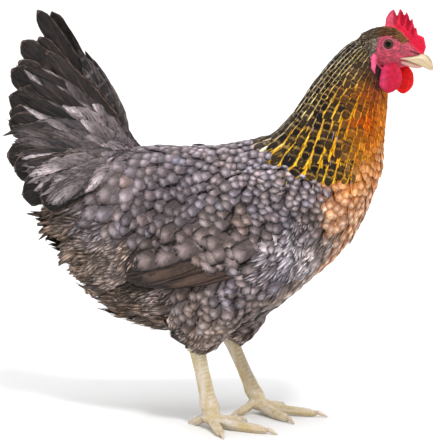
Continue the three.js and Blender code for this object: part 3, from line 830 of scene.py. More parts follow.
def feather_look(name, roughness, sheen, specular, gleam, blunt, crescent, pale, uneven):
    """A vane's look from its own colours. Its map runs across it and from quill to tip. blunt is how
    square its coloured edge turns at the tip, crescent the strength of painted shade inside that edge at
    the tip, gleam the strength of a painted highlight on its middle, pale the last rim."""
    m = Nodes(name)
    crosswise, along, _ = m.parts("SeparateXYZ", m.out("UVMap", {"uv_map": "vane"}))
    side = m.math("ABSOLUTE", crosswise * 2.0 - 1.0)
    base, tip, rim, mark = (m.attribute(k) for k in TINTS)
    bar, bars_in_ten, lace_width, seed = (tint["Alpha"] for tint in (base, tip, rim, mark))
    place = m.place()
    # barbs: fine lines that leave the shaft at a slant
    slant = along * 46.0 - side * 9.0
    barbs = m.noise(m.vector(slant, seed * 90.0, side * 1.6), 1.0, 2.5, 0.6)
    broad = along * 13.0 - side * 4.5
    streaks = m.noise(m.vector(broad, seed * 70.0, crosswise * 2.2), 1.0, 2.0, 0.6)
    patch = m.noise(place, 240.0, 3.0, 0.62)
    fine = m.noise(place, 900.0, 2.0, 0.6)
    # the colours of base and tip, where the darker base that shows next to the feather above is painted shade
    # under that feather's edge; and the bars across them
    end = m.ease(0.5, 0.86, along - side * 0.22)
    skin = m.mix(end, base["Color"], tip["Color"])
    turns = (1.0 - along) * (bars_in_ten * 10.0)
    phase = turns + (side * 0.12 + seed * 0.34)
    wave = m.math("COSINE", phase * 6.2832) * -1.0
    wave = wave + (barbs - 0.5) * 1.6
    inside = m.ease(0.84, 0.46, side + (fine - 0.5) * 0.3)
    bars = m.ease(-0.96, -0.68, wave) * inside * bar
    skin = m.mix(bars, skin, mark["Color"])
    # the coloured edge, with a last rim outside it that keeps the vane's colour
    border = m.math("MAXIMUM", side, m.math("POWER", along, blunt))
    border = border + (barbs - 0.5) * (0.12 if blunt < POINTED else 0.2)
    narrow = 1.0 - m.math("POWER", along, 6.0) * (0.45 if blunt > POINTED else 0.0)
    width = lace_width * narrow
    lace = m.ease(1.0 - width * 1.25, 1.0 - width * 0.7, border)
    last = m.ease(0.91, 0.98, border) * pale
    skin = m.mix(lace * (1.0 - last), skin, rim["Color"])
    shaft = m.ease(0.09, 0.03, side) * m.ease(1.0, 0.3, along)
    skin = m.mix(shaft * 0.05, skin, colour(200, 186, 168))
    # light and dark: barbs, streaks and patches vary the tone, a painted highlight lies on the middle near
    # the end, and painted shade lies just inside the tip
    tone = 1.0
    for layer, strength in ((barbs, 0.8), (streaks, 1.3), (patch, 0.8)):
        tone = tone + (layer - 0.5) * (strength * uneven)
    # painted highlight on the middle of the feather near its end
    painted_highlight = m.ease(0.95, 0.1, side) * (m.ease(0.5, 0.7, along) * m.ease(0.9, 0.74, along))
    tone = tone + painted_highlight * gleam
    # painted shade just inside the tip
    tipward = along + side * side * 0.12
    painted_tip_shade = m.ease(0.72, 0.93, tipward) * m.ease(1.08, 0.99, tipward)
    tone = tone - painted_tip_shade * crescent
    skin = m.mix(1.0, skin, m.grey(tone), "MULTIPLY")
    m.look(Base_Color=skin, Specular_IOR_Level=specular, Sheen_Weight=sheen, Sheen_Roughness=0.4)
    m.look(Roughness=(roughness - 0.1) + barbs * 0.2)
    m.bump((barbs, 0.55, 0.0004), (streaks, 0.5, 0.0008), (shaft, 0.05, 0.0003))
    return m.material


def skin_look():
    """The skin's look. kind says how fleshy, how leggy and how wrinkled it is, as its three parts."""
    m = Nodes("skin")
    hue = m.attribute("hue")
    place = m.place()
    _, leggy, wrinkled = m.parts("SeparateColor", m.attribute("kind")["Color"])[:3]
    veins = m.noise(place, 420.0, 4.0, 0.62)
    pores = m.cells(place, 1500.0)
    plates = m.cells(place, 620.0, "DISTANCE_TO_EDGE")
    soft = 1.0 - leggy * 0.75
    tone = 1.0 + (veins - 0.5) * (soft * 0.9)
    wrinkle = m.stretched(place, (260, 260, 900))
    folds = (m.noise(wrinkle, 1.0, 3.0, 0.65) - 0.5) * wrinkled
    # the folds also darken the colour in their hollows and lighten it on their ridges: painted shade and
    # highlight
    tone = tone + folds * 1.7
    # painted shade in the pits of the pores
    pitted = m.math("MINIMUM", pores, 0.5) * (soft * 0.28)
    shade = tone * (0.9 + pitted)
    grooves = m.mix(leggy * m.ease(0.05, 0.0, plates), (1, 1, 1), colour(196, 172, 140))
    skin = m.mix(1.0, hue["Color"], m.grey(shade), "MULTIPLY")
    skin = m.mix(1.0, skin, grooves, "MULTIPLY")
    m.look(Base_Color=skin, Subsurface_Weight=0.12, Subsurface_Scale=0.0016, Specular_IOR_Level=0.28)
    m.shader.inputs["Subsurface Radius"].default_value = (1.0, 0.3, 0.2)
    m.look(Roughness=0.42 + veins * 0.16)
    m.bump(
        (pores, 0.5, 0.0003),
        (m.math("MINIMUM", plates, 0.16) * leggy, 0.5, 0.0008),
        (folds, 0.8, 0.0008),
        (m.noise(place, 900.0, 3.0, 0.6), 0.3, 0.0003),
    )
    return m.material


def horn_look(name, pale, dark):
    """Streaked horn. band is the share of the dark colour in it."""
    m = Nodes(name)
    place = m.place()
    band = m.attribute("band")["Fac"]
    streak = m.noise(m.stretched(place, (60, 900, 900)), 1.0, 3.0, 0.6)
    cloud = m.noise(place, 260.0, 2.0)
    share = m.math("ADD", band, (streak - 0.5) * 0.7, clamp=True)
    skin = m.mix(share * 0.9, pale, dark)
    skin = m.mix(cloud * 0.18, skin, colour(150, 110, 80))
    m.look(Base_Color=skin, Specular_IOR_Level=0.5, Subsurface_Weight=0.08, Subsurface_Scale=0.001)
    m.look(Roughness=0.24 + streak * 0.2)
    m.bump((streak, 0.35, 0.0003), (cloud, 0.3, 0.0004))
    return m.material


def eye_look():
    """gaze is the distance from the eye's axis, in mm, and the two parts of the way out from it."""
    m = Nodes("eye")
    far, right, up = m.parts("SeparateXYZ", m.attribute("gaze")["Vector"])
    rays = m.noise(m.vector(right * 7.0, up * 7.0, far * 0.25), 1.0, 3.0, 0.7)
    iris = m.mix(m.ease(2.8, 4.2, far), colour(84, 50, 28), colour(112, 78, 50))
    iris = m.mix(m.ease(0.35, 0.7, rays) * 0.6, iris, colour(56, 36, 24))
    iris = m.mix(m.ease(3.7, 4.3, far), iris, colour(26, 14, 13))
    pupil = m.ease(3.0, 2.75, far)
    m.look(Base_Color=m.mix(pupil, iris, colour(5, 4, 4)), Roughness=0.3, Specular_IOR_Level=0.05)
    m.look(Coat_Weight=0.35, Coat_Roughness=0.02, Coat_IOR=1.35)
    m.bump((rays, 0.12, 0.0001))
    return m.material


def floor_look():
    m = Nodes("floor")
    tone = 0.83 + m.noise(m.place(), 3.0) * 0.03
    m.look(Base_Color=m.grey(tone), Roughness=0.75, Specular_IOR_Level=0.2)
    return m.material


# roughness, sheen, specular, gleam (strength of the painted highlight), blunt, crescent (strength of the
# painted shade at the tip), pale, uneven
FEATHERS = {
    "feather_grey": (0.6, 0.03, 0.2, 0.55, 4.5, 0.6, 0.5, 1.25),
    "feather_breast": (0.6, 0.03, 0.2, 0.25, 4.5, 0.4, 0.0, 1.2),
    "feather_hackle": (0.65, 0.0, 0.05, 0.1, 60.0, 0.0, 0.0, 1.2),
    "feather_wing": (0.55, 0.03, 0.22, 0.62, 5.0, 0.7, 0.5, 1.3),
    "feather_tail": (0.55, 0.02, 0.2, 0.2, 8.0, 0.3, 0.3, 2.5),
}
LOOKS = {name: feather_look(name, *values) for name, values in FEATHERS.items()}
SLOT_OF = {"feather_breast": "feather_grey"}  # the record's slot, where the look has another name


def placed(name, me, material, slot, replaced=()):
    """A mesh as a piece of the bird, in the place of these CAD nodes."""
    me.materials.append(material)
    ob = link(name, me)
    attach(ob, "root")
    if replaced:
        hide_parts(*replaced)


def set_attribute(me, name, values, kind="FLOAT_COLOR"):
    layer = me.attributes.new(name, kind, "POINT")
    key = {"FLOAT_COLOR": "color", "FLOAT_VECTOR": "vector", "FLOAT": "value"}[kind]
    layer.data.foreach_set(key, np.ascontiguousarray(values, np.float32).ravel())


def set_map(me, name, per_corner):
    layer = me.uv_layers.new(name=name)
    layer.uv.foreach_set("vector", np.ascontiguousarray(per_corner, np.float32).ravel())


# ---- vanes ---------------------------------------------------------------------------------------


def vane_shape(v, point):
    """Half width as a share of the widest, from quill (0) to tip (1)."""
    stem = np.clip(v / 0.3, 0.12, 1) ** 0.6
    turn = 0.74 - 0.52 * point
    t = np.clip((v - turn) / (1 - turn), 0, 1)
    end = (1 - t ** (2.3 - 0.9 * point)) ** (0.5 + 0.42 * point)
    return stem * np.maximum(end, 0.035)


BAKE_PATCH = 0.003  # how large each vane is on the map OFBake
BAKE_EDGE = 0.03  # the part of that map left free along each side


def half_widths(wide, point, along):
    """Half the width of each feather, in rows, at each station."""
    wide, point = (np.reshape(x, (-1, 1)) for x in (wide, point))
    return 0.5 * wide * vane_shape(along[None], point)


class Coat:
    """The vanes of one piece, gathered in batches."""

    def __init__(self, name, look, line=None, replaced=()):
        self.name, self.look, self.replaced = name, look, replaced
        self.line = np.array(SPINE if line is None else line, float)
        self.v, self.faces, self.uv, self.bake, self.tints, self.count = [], [], [], [], [], 0

    def unwrap(self, roots):
        """Round and along the line down the middle of the skin under this piece."""
        a, b = self.line[:-1], self.line[1:]
        steps = np.linalg.norm(b - a, axis=1)
        share = np.clip(((roots[:, None] - a) * (b - a)).sum(-1) / steps**2, 0, 1)
        off = roots[:, None] - (a + share[..., None] * (b - a))
        i = np.linalg.norm(off, axis=-1).argmin(1)
        here = np.arange(len(roots))
        run = unit(b - a)[i]
        above = np.cross(run, [0.0, 1.0, 0.0])
        turn = np.arctan2(off[here, i, 1], (off[here, i] * above).sum(-1))
        along = (np.concatenate([[0], np.cumsum(steps)[:-1]])[i] + share[here, i] * steps[i]) / steps.sum()
        return BAKE_EDGE + (1 - 2 * BAKE_EDGE) * np.stack([turn / (2 * np.pi) + 0.5, along], 1)

    def add(self, centre, side, up, half, camber, thick, tints, corners, rag, rng, along, drop=None):
        """Closed vanes. centre, side, up, half and camber have a row for each vane and a column for each
        station. corners is how many a vane has over its top, rag how ragged the edge is, and drop how
        far the left and the right edge hang down."""
        count, stations = half.shape
        u = np.linspace(-1, 1, corners)
        us = np.concatenate([u, [0.0] if corners < 7 else [0.45, -0.45]])  # then the corners below
        ring = len(us)
        wide = np.broadcast_to(half[:, :, None], (count, stations, ring)).copy()
        if rag:
            for edge in (0, corners - 1):
                wide[:, :, edge] *= 1 + rag * rng.standard_normal((count, stations))
        lift = camber[:, :, None] * (1 - us**2)
        if drop is not None:
            lift = lift + np.where(us < 0, drop[0][:, :, None], drop[1][:, :, None]) * us**2
        lift[:, :, corners:] -= np.asarray(thick, float).reshape(-1, 1, 1)
        v = centre[:, :, None] + side[:, :, None] * (us * wide)[..., None] + up[:, :, None] * lift[..., None]
        if rag:
            run = np.cross(side, up)
            shift = rag * 0.55 * half.max(1)[:, None, None] * rng.standard_normal((count, stations, corners))
            v[:, 1:-1, :corners] += run[:, 1:-1, None] * shift[:, 1:-1, :, None]
        start = self.count + np.arange(count)[:, None, None] * stations * ring
        j, k = np.arange(stations - 1)[None, :, None], np.arange(ring)[None, None]
        a, b = start + j * ring + k, start + j * ring + (k + 1) % ring
        quads = np.stack([a, b, b + ring, a + ring], -1).reshape(-1, 4)
        first = start[:, 0] + np.arange(ring)[::-1]
        last = start[:, 0] + (stations - 1) * ring + np.arange(ring)
        self.faces += [quads, first, last]
        self.v.append(v.reshape(-1, 3))
        own = np.stack(np.broadcast_arrays((us * 0.5 + 0.5)[None, None], along[None, :, None]), -1)
        own = np.broadcast_to(own, (count, stations, ring, 2)).reshape(-1, 2)
        self.uv.append(own)
        roots = self.unwrap(centre[:, 0])
        self.bake.append(np.repeat(roots, stations * ring, 0) + (own - 0.5) * BAKE_PATCH)
        self.tints.append(np.repeat(tints, stations * ring, 0))
        self.count += count * stations * ring

    def build(self):
        me = new_mesh(self.name, np.concatenate(self.v), self.faces)
        corners = np.concatenate([f.ravel() for f in self.faces])
        set_map(me, "OFBake", np.concatenate(self.bake)[corners])
        set_map(me, "vane", np.concatenate(self.uv)[corners])
        tints = np.concatenate(self.tints)
        for k, name in enumerate(TINTS):
            set_attribute(me, name, tints[:, k])
        placed(self.name, me, LOOKS[self.look], SLOT_OF.get(self.look, self.look), self.replaced)


# ---- where feathers grow -------------------------------------------------------------------------


def walk(roots, length, along, lie, turn, free):
    """From each root over the surface the way the coat lies, to each share of its length. Past its free
    share a feather leaves the surface and runs straight on."""
    p, n = ground.snap(roots)
    places, ups = [p], [n]
    run = np.zeros_like(p)
    for share, step in zip(along[1:], np.diff(along)):
        d = lie(p)
        d = unit(d - n * dot(d, n))
        d = d * np.cos(turn)[:, None] + np.cross(n, d) * np.sin(turn)[:, None]
        on, up = ground.snap(p + d * (step * length)[:, None])
        off = (share > free)[:, None]
        run = np.where(off, run, unit(on - p))
        p, n = np.where(off, p + run * (step * length)[:, None], on), np.where(off, n, up)
        places.append(p)
        ups.append(n)
    return np.stack(places, 1), np.stack(ups, 1)


def frames(places, ups):
    """The ways across and up at each station of these paths."""
    run = unit(np.gradient(places, axis=1))
    side = unit(np.cross(run, ups))
    return side, unit(np.cross(side, run))


def body_plan(points):
    """How far apart feathers grow, how much farther along the lie, and the lie."""
    mix = says(points, use=ON_BODY)
    return mix @ column("every"), mix @ column("stretch"), unit(mix @ LIES)


def scattered(keep, seed, plan):
    """Places spread over the surface as far apart as the plan says, longer along the lie."""
    cell = 6.0  # mm across the cells in which neighbours are looked up
    closest = 0.86  # how near two places may come, as a share of the distance the plan says
    tries = 14  # for each place
    rng = np.random.default_rng(seed)
    a, b, c = (ground.v[ground.t[:, k]] for k in range(3))
    middle = (a + b + c) / 3
    area = np.linalg.norm(np.cross(b - a, c - a), axis=1) / 2
    every, stretch, lie = plan(middle)
    use = keep(middle)
    weight = area * use / (every**2 * stretch)
    total = int(weight.sum() * tries)
    face = rng.choice(len(area), total, p=weight / weight.sum())
    r1, r2 = np.sqrt(rng.random(total))[:, None], rng.random(total)[:, None]
    p = a[face] * (1 - r1) + b[face] * (r1 * (1 - r2)) + c[face] * (r1 * r2)
    every, stretch, lie = every[face], stretch[face], lie[face]
    keys = np.floor(p / cell).astype(int)
    reach = np.ceil(every * stretch / cell).astype(int)
    near, chosen = {}, []
    for i, (x, y, z) in enumerate(keys):
        around = range(-reach[i], reach[i] + 1)
        cells = ((x + dx, y + dy, z + dz) for dx in around for dy in around for dz in around)
        found = [j for key in cells for j in near.get(key, ())]
        if found:
            d = p[found] - p[i]
            go = d @ lie[i]
            gap = (d * d).sum(1) - go * go + (go / stretch[i]) ** 2
            if gap.min() < (every[i] * closest) ** 2:
                continue
        near.setdefault((x, y, z), []).append(i)
        chosen.append(i)
    return p[chosen]


# ---- the coat ------------------------------------------------------------------------------------

SPINE = [(-172, 205), (-90, 195), (20, 190), (95, 215), (130, 265), (148, 330), (165, 368), (200, 368)]
SPINE = [(x, 0, z) for x, z in SPINE]
TAIL_LINE = [(-82, 0, 230), (-150, 0, 290), (-190, 0, 380)]
PIECES = {  # each piece's look, the line it is unwrapped round, if not the spine, and what it replaces
    "coat_head": ("feather_hackle",),
    "coat_hackle": ("feather_hackle",),
    "coat_breast": ("feather_breast",),
    "coat_back": ("feather_grey",),
    "coat_belly": ("feather_grey",),
    "coat_rear": ("feather_grey",),
    "coat_thigh_left": ("feather_grey", [(6, 42, 150), (18, 42, 105), (14, 40, 70)]),
    "coat_thigh_right": ("feather_grey", [(-5, -42, 150), (-8, -42, 105), (-9, -39, 70)]),
    "coverts_left": ("feather_wing",),
    "coverts_right": ("feather_wing",),
    "quills_left": ("feather_wing",),
    "quills_right": ("feather_wing",),
    "tail_left": ("feather_tail", TAIL_LINE, ["tail"]),
    "tail_right": ("feather_tail", TAIL_LINE),
}
QUILLS_X = [-90, -70, -40, -10, 20, 45, 70, 90]
QUILLS_TOP = [166, 172, 180, 176, 166, 156, 150, 146]  # z of the upper edge of the wing's bare quills

coats = {}


def coat(name):
    if name not in coats:
        coats[name] = Coat(name, *PIECES[name])
    return coats[name]


def wing_share(points):
    """1 on the wings, falling to 0 just off them."""
    x, y, z = points.T
    near = (np.abs(y) > 38) & (x > -95) & (z > 128) & (z < 272)
    share = np.zeros(len(points))
    share[near] = ease(2.2, 1.2, np.minimum(*[nearest(wings[word], points[near], 9) for word in SIDES]))
    return share


def quills_show(p):
    """1 where the wing's long quills lie bare of small coverts."""
    upper = np.interp(p[:, 0], QUILLS_X, QUILLS_TOP)
    return (np.abs(p[:, 1]) > 40) * ease(3, -3, p[:, 2] - upper)


# ---- the hackle's columns ------------------------------------------------------------------------
# Rings round the neck from the head down: x and z of the back, of the middle and of the front, and the
# half width. Rays from the middle meet the outline; a ray's angle is 0 in front and pi at the back.

NECK_RINGS = [
    (143, 386, 150, 368, 170, 348, 17),
    (118, 362, 131, 345, 177, 322, 24),
    (90, 332, 115, 318, 178, 296, 34),
    (60, 304, 106, 284, 177, 270, 48),
    (20, 288, 98, 246, 168, 242, 62),
]
NECK_ROWS, NECK_TURNS = 49, 128
HACKLE_GAP = 8.6  # mm between the hackle's columns low on the neck


def neck_grid():
    """The outline's neck as a grid of places, a row for each ring and a column for each turn."""
    s = np.linspace(0, 1, NECK_ROWS)
    at = np.linspace(0, 1, len(NECK_RINGS))
    rings = smooth_rows(np.array([np.interp(s, at, values) for values in zip(*NECK_RINGS)]), 8).T
    angle = np.linspace(0, 2 * np.pi, NECK_TURNS, endpoint=False)
    grid = np.empty((NECK_ROWS, NECK_TURNS, 3))
    for i, (bx, bz, mx, mz, fx, fz, half) in enumerate(rings):
        for j, turn in enumerate(angle):
            c = math.cos(turn)
            to = (fx - mx, fz - mz) if c > 0 else (mx - bx, mz - bz)
            way = Vector((c * to[0], math.sin(turn) * half, c * to[1])).normalized()
            grid[i, j] = ground.tree.ray_cast(Vector((mx, 0, mz)), way)[0]
    for _ in range(6):
        grid = (grid + np.roll(grid, 1, 1) + np.roll(grid, -1, 1)) / 3
        grid[1:-1] = (grid[:-2] + 2 * grid[1:-1] + grid[2:]) / 4
    return ground.snap(grid)[0]


def smooth_rows(y, rounds=12):
    for _ in range(rounds):
        y = np.concatenate([y[:, :1], (y[:, :-2] + 2 * y[:, 1:-1] + y[:, 2:]) / 4, y[:, -1:]], 1)
    return y


NECK = neck_grid()


def on_neck(s, turn):
    """The place at this share of the way down the neck and this turn round it, in shares of 1. Beyond
    the ends it runs straight on."""
    i = np.clip(s, 0, 1) * (NECK_ROWS - 1)
    low = np.minimum(i.astype(int), NECK_ROWS - 2)
    f = (i - low)[..., None]
    j = (turn % 1) * NECK_TURNS
    left = j.astype(int) % NECK_TURNS
    g = (j - np.floor(j))[..., None]
    right = (left + 1) % NECK_TURNS
    upper, lower = (blend(NECK[row, left], NECK[row, right], g) for row in (low, low + 1))
    beyond = (s - np.clip(s, 0, 1))[..., None] * (NECK_ROWS - 1)
    return blend(upper, lower, f) + beyond * (lower - upper)


def neck_length(s, turn):
    """How many mm a share of 1 down the neck would be, as measured here."""
    step = 0.01
    return np.linalg.norm(on_neck(s + step, turn) - on_neck(s - step, turn), axis=1) / (2 * step)


def neck_patch(last):
    """The grid's rows down to this one as triangles."""
    i, j = np.meshgrid(np.arange(last), np.arange(NECK_TURNS), indexing="ij")
    a, b = i * NECK_TURNS + j, i * NECK_TURNS + (j + 1) % NECK_TURNS
    t = np.stack([a, a + NECK_TURNS, b, b, a + NECK_TURNS, b + NECK_TURNS], -1).reshape(-1, 3)
    return NECK.reshape(-1, 3), t


NECK_PATCH = neck_patch(45)


def coat_here(middle):
    """Where the body carries scattered feathers."""
    x, y, z = middle.T
    bare = bare_face(middle) * (x > 150) * (z > 340)
    foot = np.where(y < 0, 77.0, 73.5)
    hackle = nearest(NECK_PATCH, middle, 3) < 2
    quills = (wing_share(middle) > 0.5) * (quills_show(middle) > 0.5)
    return (bare < 0.5) * ~hackle * (1 - quills) * (z > foot)


def piece_of(p):
    """The coat piece a root belongs to. Of the regions that hold a root, the last one counts."""
    x, y, z = p.T
    wing = wing_share(p) > 0.5
    thigh = (z < 108) & (np.abs(y) > 19) & (x < 62) & (x > -45)
    belly = (z < 205 - 0.25 * x) & (x <= 60)
    regions = [
        ("coat_breast", ((z < 262) & (x > 60)) | ((z < 150) & (x > 20))),
        ("coat_belly", belly),
        ("coat_rear", belly & (x < -60)),
        ("coat_back", (z > 165) & (x <= 60) & (x > -100)),
        ("coat_hackle", (x - 108) * 0.5 + (z - 262) * 0.866 > 0),
        ("coat_head", (z > 350) | ((x > 148) & (z > 335))),
        ("coverts_left", wing & (y > 0)),
        ("coverts_right", wing & (y < 0)),
        ("coat_thigh_left", thigh & (y > 0)),
        ("coat_thigh_right", thigh & (y < 0)),
    ]
    names = np.full(len(p), "coat_back", object)
    for name, here in regions:
        names[here] = name
    return names


def with_alphas(tones, bar, bars, lace, rng):
    """Each feather's four colours, whose alphas are the strength of its bars, a tenth of their number,
    the width of its edge and a seed."""
    count = len(tones)
    alphas = [np.broadcast_to(x, count) for x in (bar, bars / 10, lace, rng.random(count))]
    return np.concatenate([np.clip(tones, 0, 1), np.stack(alphas, 1)[..., None]], -1)


def tinted(points, rng, use, spread=0.2):
    """Tints from the plan, each feather's a little off, in clouds of light and dark, warm and cold."""
    count = len(points)
    mix = says(points + rng.normal(0, 2.0, points.shape), 0.4, use)
    tones = np.einsum("nr,rtc->ntc", mix, COLOURS)
    cloud = 0.2 * grain(points, 15) + 0.14 * grain(points, 42, 2) + spread * rng.standard_normal(count)
    tones = tones * np.exp(cloud)[:, None, None]
    warm = 0.1 * grain(points, 24, 4) + 0.03 * rng.standard_normal(count)
    tones = tones * np.exp(warm[:, None, None] * [1, 0.1, -1])
    values = dict(zip(FIELDS, (mix @ VALUES).T))
    return with_alphas(tones, values["bar"], BARS, values["lace"], rng)


def lay(names, places, ups, half, get, tints, rng):
    """Feathers over these paths, each in its piece of the coat, with the loose ones as strands."""
    side, up = frames(places, ups)
    count = len(places)
    depth = np.minimum(get["depth"], 4.2)[:, None]
    lift = (get["lift"] * (1 + 0.35 * rng.standard_normal(count)) - 0.2)[:, None]
    height = -depth + (depth + lift) * ALONG[None] ** 1.05
    # the tips bend down: less at the rear, over the shoulder and on the back
    x, z = places[:, 0, 0], places[:, 0, 2]
    domed = 2.1 * get["wide"] / 12 * np.where(get["free"] < 1, ease(46, 26, get["long"]), 1)
    domed *= 1 - 0.65 * ease(105, 130, x) * ease(290, 266, z)
    domed *= 1 - 0.35 * ease(245, 272, z) * (get["free"] > 1)
    height -= domed[:, None] * ease(0.58, 1.0, ALONG)[None] ** 1.8
    centre = places + up * height[..., None]
    # where each edge meets the curved ground
    drops = []
    for sign in (-1, 1):
        edge, _ = ground.snap(places + side * (sign * half)[..., None])
        drop = np.clip(dot(edge - places, up)[..., 0], -0.6 * half - 0.5, 0.3)
        drops.append(np.where(ALONG[None] > get["free"][:, None], 0.35, 1) * drop)
    camber = 0.17 * half
    loose = get["loose"] > 0.45 + 0.08 * rng.standard_normal(count)
    small = get["wide"] < 3.4
    for name in sorted(set(names)):
        piece = coat(name)
        for fine, mask in ((True, small), (False, ~small)):
            use = (names == name) & mask & ~loose
            if not use.any():
                continue
            step = slice(None, None, 2 if fine else 1)
            shape = [a[use][:, step] for a in (centre, side, up, half, camber)]
            hang = [drop[use][:, step] for drop in drops]
            thick = 0.12 + 0.02 * get["wide"][use]
            piece.add(*shape, thick, tints[use], 3 if fine else 7, 0.07, rng, ALONG[step], hang)
            if not fine and piece.look != "feather_hackle":
                fringe(piece, *shape[:4], tints[use], ALONG, rng, 9, 0.16, 3, 0.35)
        use = (names == name) & loose
        if use.any():
            add_strands(piece, centre[use], side[use], up[use], get["wide"][use], tints[use], ALONG, rng)


def towards_tip(stations, power):
    """Shares of a feather's length for its stations, closer together towards the tip."""
    return 1 - (1 - np.linspace(0, 1, stations)) ** power


ALONG = towards_tip(11, 1.5)


def leaves_at(p):
    """The share of its length at which a feather leaves the surface: at the rear and over the hocks."""
    rear = 1.1 - 0.6 * ease(-88, -112, p[:, 0])
    hock = 1.1 - 0.45 * ease(104, 92, p[:, 2]) * (np.abs(p[:, 1]) > 19)
    return np.minimum(rear, hock)


def body_coat():
    roots = scattered(coat_here, 3, body_plan)
    rng = np.random.default_rng(5)
    get = values_at(roots, ON_BODY)
    count = len(roots)
    length = get["long"] * (1 + 0.1 * rng.standard_normal(count))
    stray = rng.random(count) < 0.05
    turn = np.radians(7 + 8 * get["loose"] + 16 * stray) * rng.standard_normal(count)
    get["lift"] = get["lift"] + 1.2 * stray
    # a feather's own root is up the lie from the place it was given
    start = roots - lie_of(roots) * (0.45 * length)[:, None]
    get["free"] = leaves_at(roots)
    places, ups = walk(start, length, ALONG, lie_of, turn, get["free"])
    get["loose"] = np.maximum(get["loose"], says(places[:, -1], use=ON_BODY) @ column("loose"))
    half = half_widths(get["wide"], get["point"], ALONG)
    half *= (1 + 0.12 * rng.standard_normal(count))[:, None]
    lay(piece_of(roots), places, ups, half, get, tinted(places[:, -1], rng, ON_BODY), rng)


def hackle_turns():
    """The turn round the neck of each of the hackle's columns, narrower ones in front."""
    turns = np.linspace(0, 1, 721)
    ring = on_neck(np.full(721, 0.7), turns)
    from_front = np.minimum(turns[1:], 1 - turns[1:])
    finer = 1 + 0.6 * ease(0.2, 0.1, from_front)
    round_it = np.concatenate([[0], np.cumsum(finer * np.linalg.norm(np.diff(ring, axis=0), axis=1))])
    columns = int(round_it[-1] / HACKLE_GAP)
    return np.interp((np.arange(columns) + 0.5) / columns * round_it[-1], round_it, turns)


def hackle_tips(rng):
    """A row for each feather: its tip's share of the way down, its turn, the room beside it and before
    the next one."""
    turns = hackle_turns()
    share = np.linspace(0, 1, 200)
    tips = []
    for k, turn in enumerate(turns):
        line = on_neck(share, np.full(200, turn))
        beside = on_neck(share, np.full(200, turns[(k + 1) % len(turns)] % 1))
        apart = np.linalg.norm(beside - line, axis=1)
        down = np.concatenate([[0], np.cumsum(np.linalg.norm(np.diff(line, axis=0), axis=1))])
        at, end = rng.uniform(1, 9), down[-1]
        while at < end + 4:
            tip = np.interp(at, down, share) if at < end else 1 + (at - end) / end
            gap = np.interp(min(tip, 1), share, apart)
            step = 1.8 + 0.95 * gap
            tips.append((tip, turn, gap, step))
            at += step * (1 + 0.14 * rng.standard_normal())
    return np.array(tips).T


def down_the_neck(tips, turn, length, sway):
    """Paths on the neck that end at these tips, with a sway in shares of a turn."""
    s = tips[:, None] - (length / neck_length(tips, turn))[:, None] * (1 - ALONG[None])
    return ground.snap(on_neck(s, turn[:, None] + sway[:, None] * ALONG[None] ** 2))


def hackle_coat():
    """Feathers one behind another in columns down the neck, so that their edges make stripes."""
    rng = np.random.default_rng(9)
    tips, turn, gap, step = hackle_tips(rng)
    count = len(tips)
    tip = on_neck(tips, turn)
    get = values_at(tip, ~ON_BODY)
    length = get["long"] * (1 + 0.06 * rng.standard_normal(count))
    sway = rng.normal(0, 0.1, count) * (gap / neck_length(tips, turn)) * 0.55
    places, ups = down_the_neck(tips, turn, length, sway)
    get["wide"] = gap * 1.3
    get["free"] = np.full(count, 1.1)
    half = half_widths(get["wide"], get["point"], ALONG)
    half *= (1 + 0.1 * rng.standard_normal(count))[:, None]
    tints = tinted(tip, rng, ~ON_BODY)
    tints[:, 0, 3] *= rng.uniform(0.85, 1.05, count)
    tints[:, 1, 3] = length / step / 10 * rng.uniform(0.8, 1.15, count)
    keep = bare_face(tip) < 0.5
    names = np.full(keep.sum(), "coat_hackle", object)
    get = {field: values[keep] for field, values in get.items()}
    lay(names, places[keep], ups[keep], half[keep], get, tints[keep], rng)
    gold_threads(rng)


def gold_threads(rng, count=240):
    """Thin bright barbs that trail from the hackle's end over the shoulder."""
    tips = rng.uniform(0.72, 1.07, count)
    turn = rng.uniform(0.12, 0.36, count) * rng.choice([-1, 1], count)
    get = values_at(on_neck(tips, turn), ~ON_BODY)
    length = rng.uniform(18, 30, count)
    places, ups = down_the_neck(tips, turn, length, rng.normal(0, 0.005, count))
    get["wide"] = rng.uniform(0.9, 1.6, count)
    get["free"] = np.full(count, 1.1)
    get["lift"] = get["lift"] + 0.4
    half = half_widths(get["wide"], np.full(count, 0.8), ALONG)
    gold = STRIPED[2]
    tints = own_tints(count, (gold * 0.8, gold, gold, gold), 0.0, 2, 0.1, rng, 0.2)
    kind = rng.random(count)
    tints[kind < 0.25, :, :3] = INK * 1.4
    tints[kind > 0.8, :, :3] = LAVENDER[1] * 1.2
    lay(np.full(count, "coat_hackle", object), places, ups, half, get, tints, rng)


def reader(share, along):
    """A way to read what feathers have at their stations, at other shares of their length: share has a
    row for each feather, a column for each strand and a station for each place on it."""
    stations = len(along)
    grid = np.interp(share.ravel(), along, np.arange(stations)).reshape(share.shape)
    low = np.clip(grid.astype(int), 0, stations - 2)
    f = (grid - low)[..., None]
    rows = np.arange(len(share))[:, None, None]
    return lambda a: blend(a[rows, low], a[rows, low + 1], f)


def add_narrow(piece, centre, side, up, half, camber, thick, tones, rng, along):
    """Vanes so narrow that three corners will do, from arrays by feather, strand and station."""
    flat = (a.reshape(-1, len(along), 3) for a in (centre, side, up))
    half = np.broadcast_to(half, centre.shape[:3]).reshape(-1, len(along))
    tones = np.clip(tones.reshape(-1, 4, 4), 0, 1)
    piece.add(*flat, half, camber * half, thick, tones, 3, 0.0, rng, along)


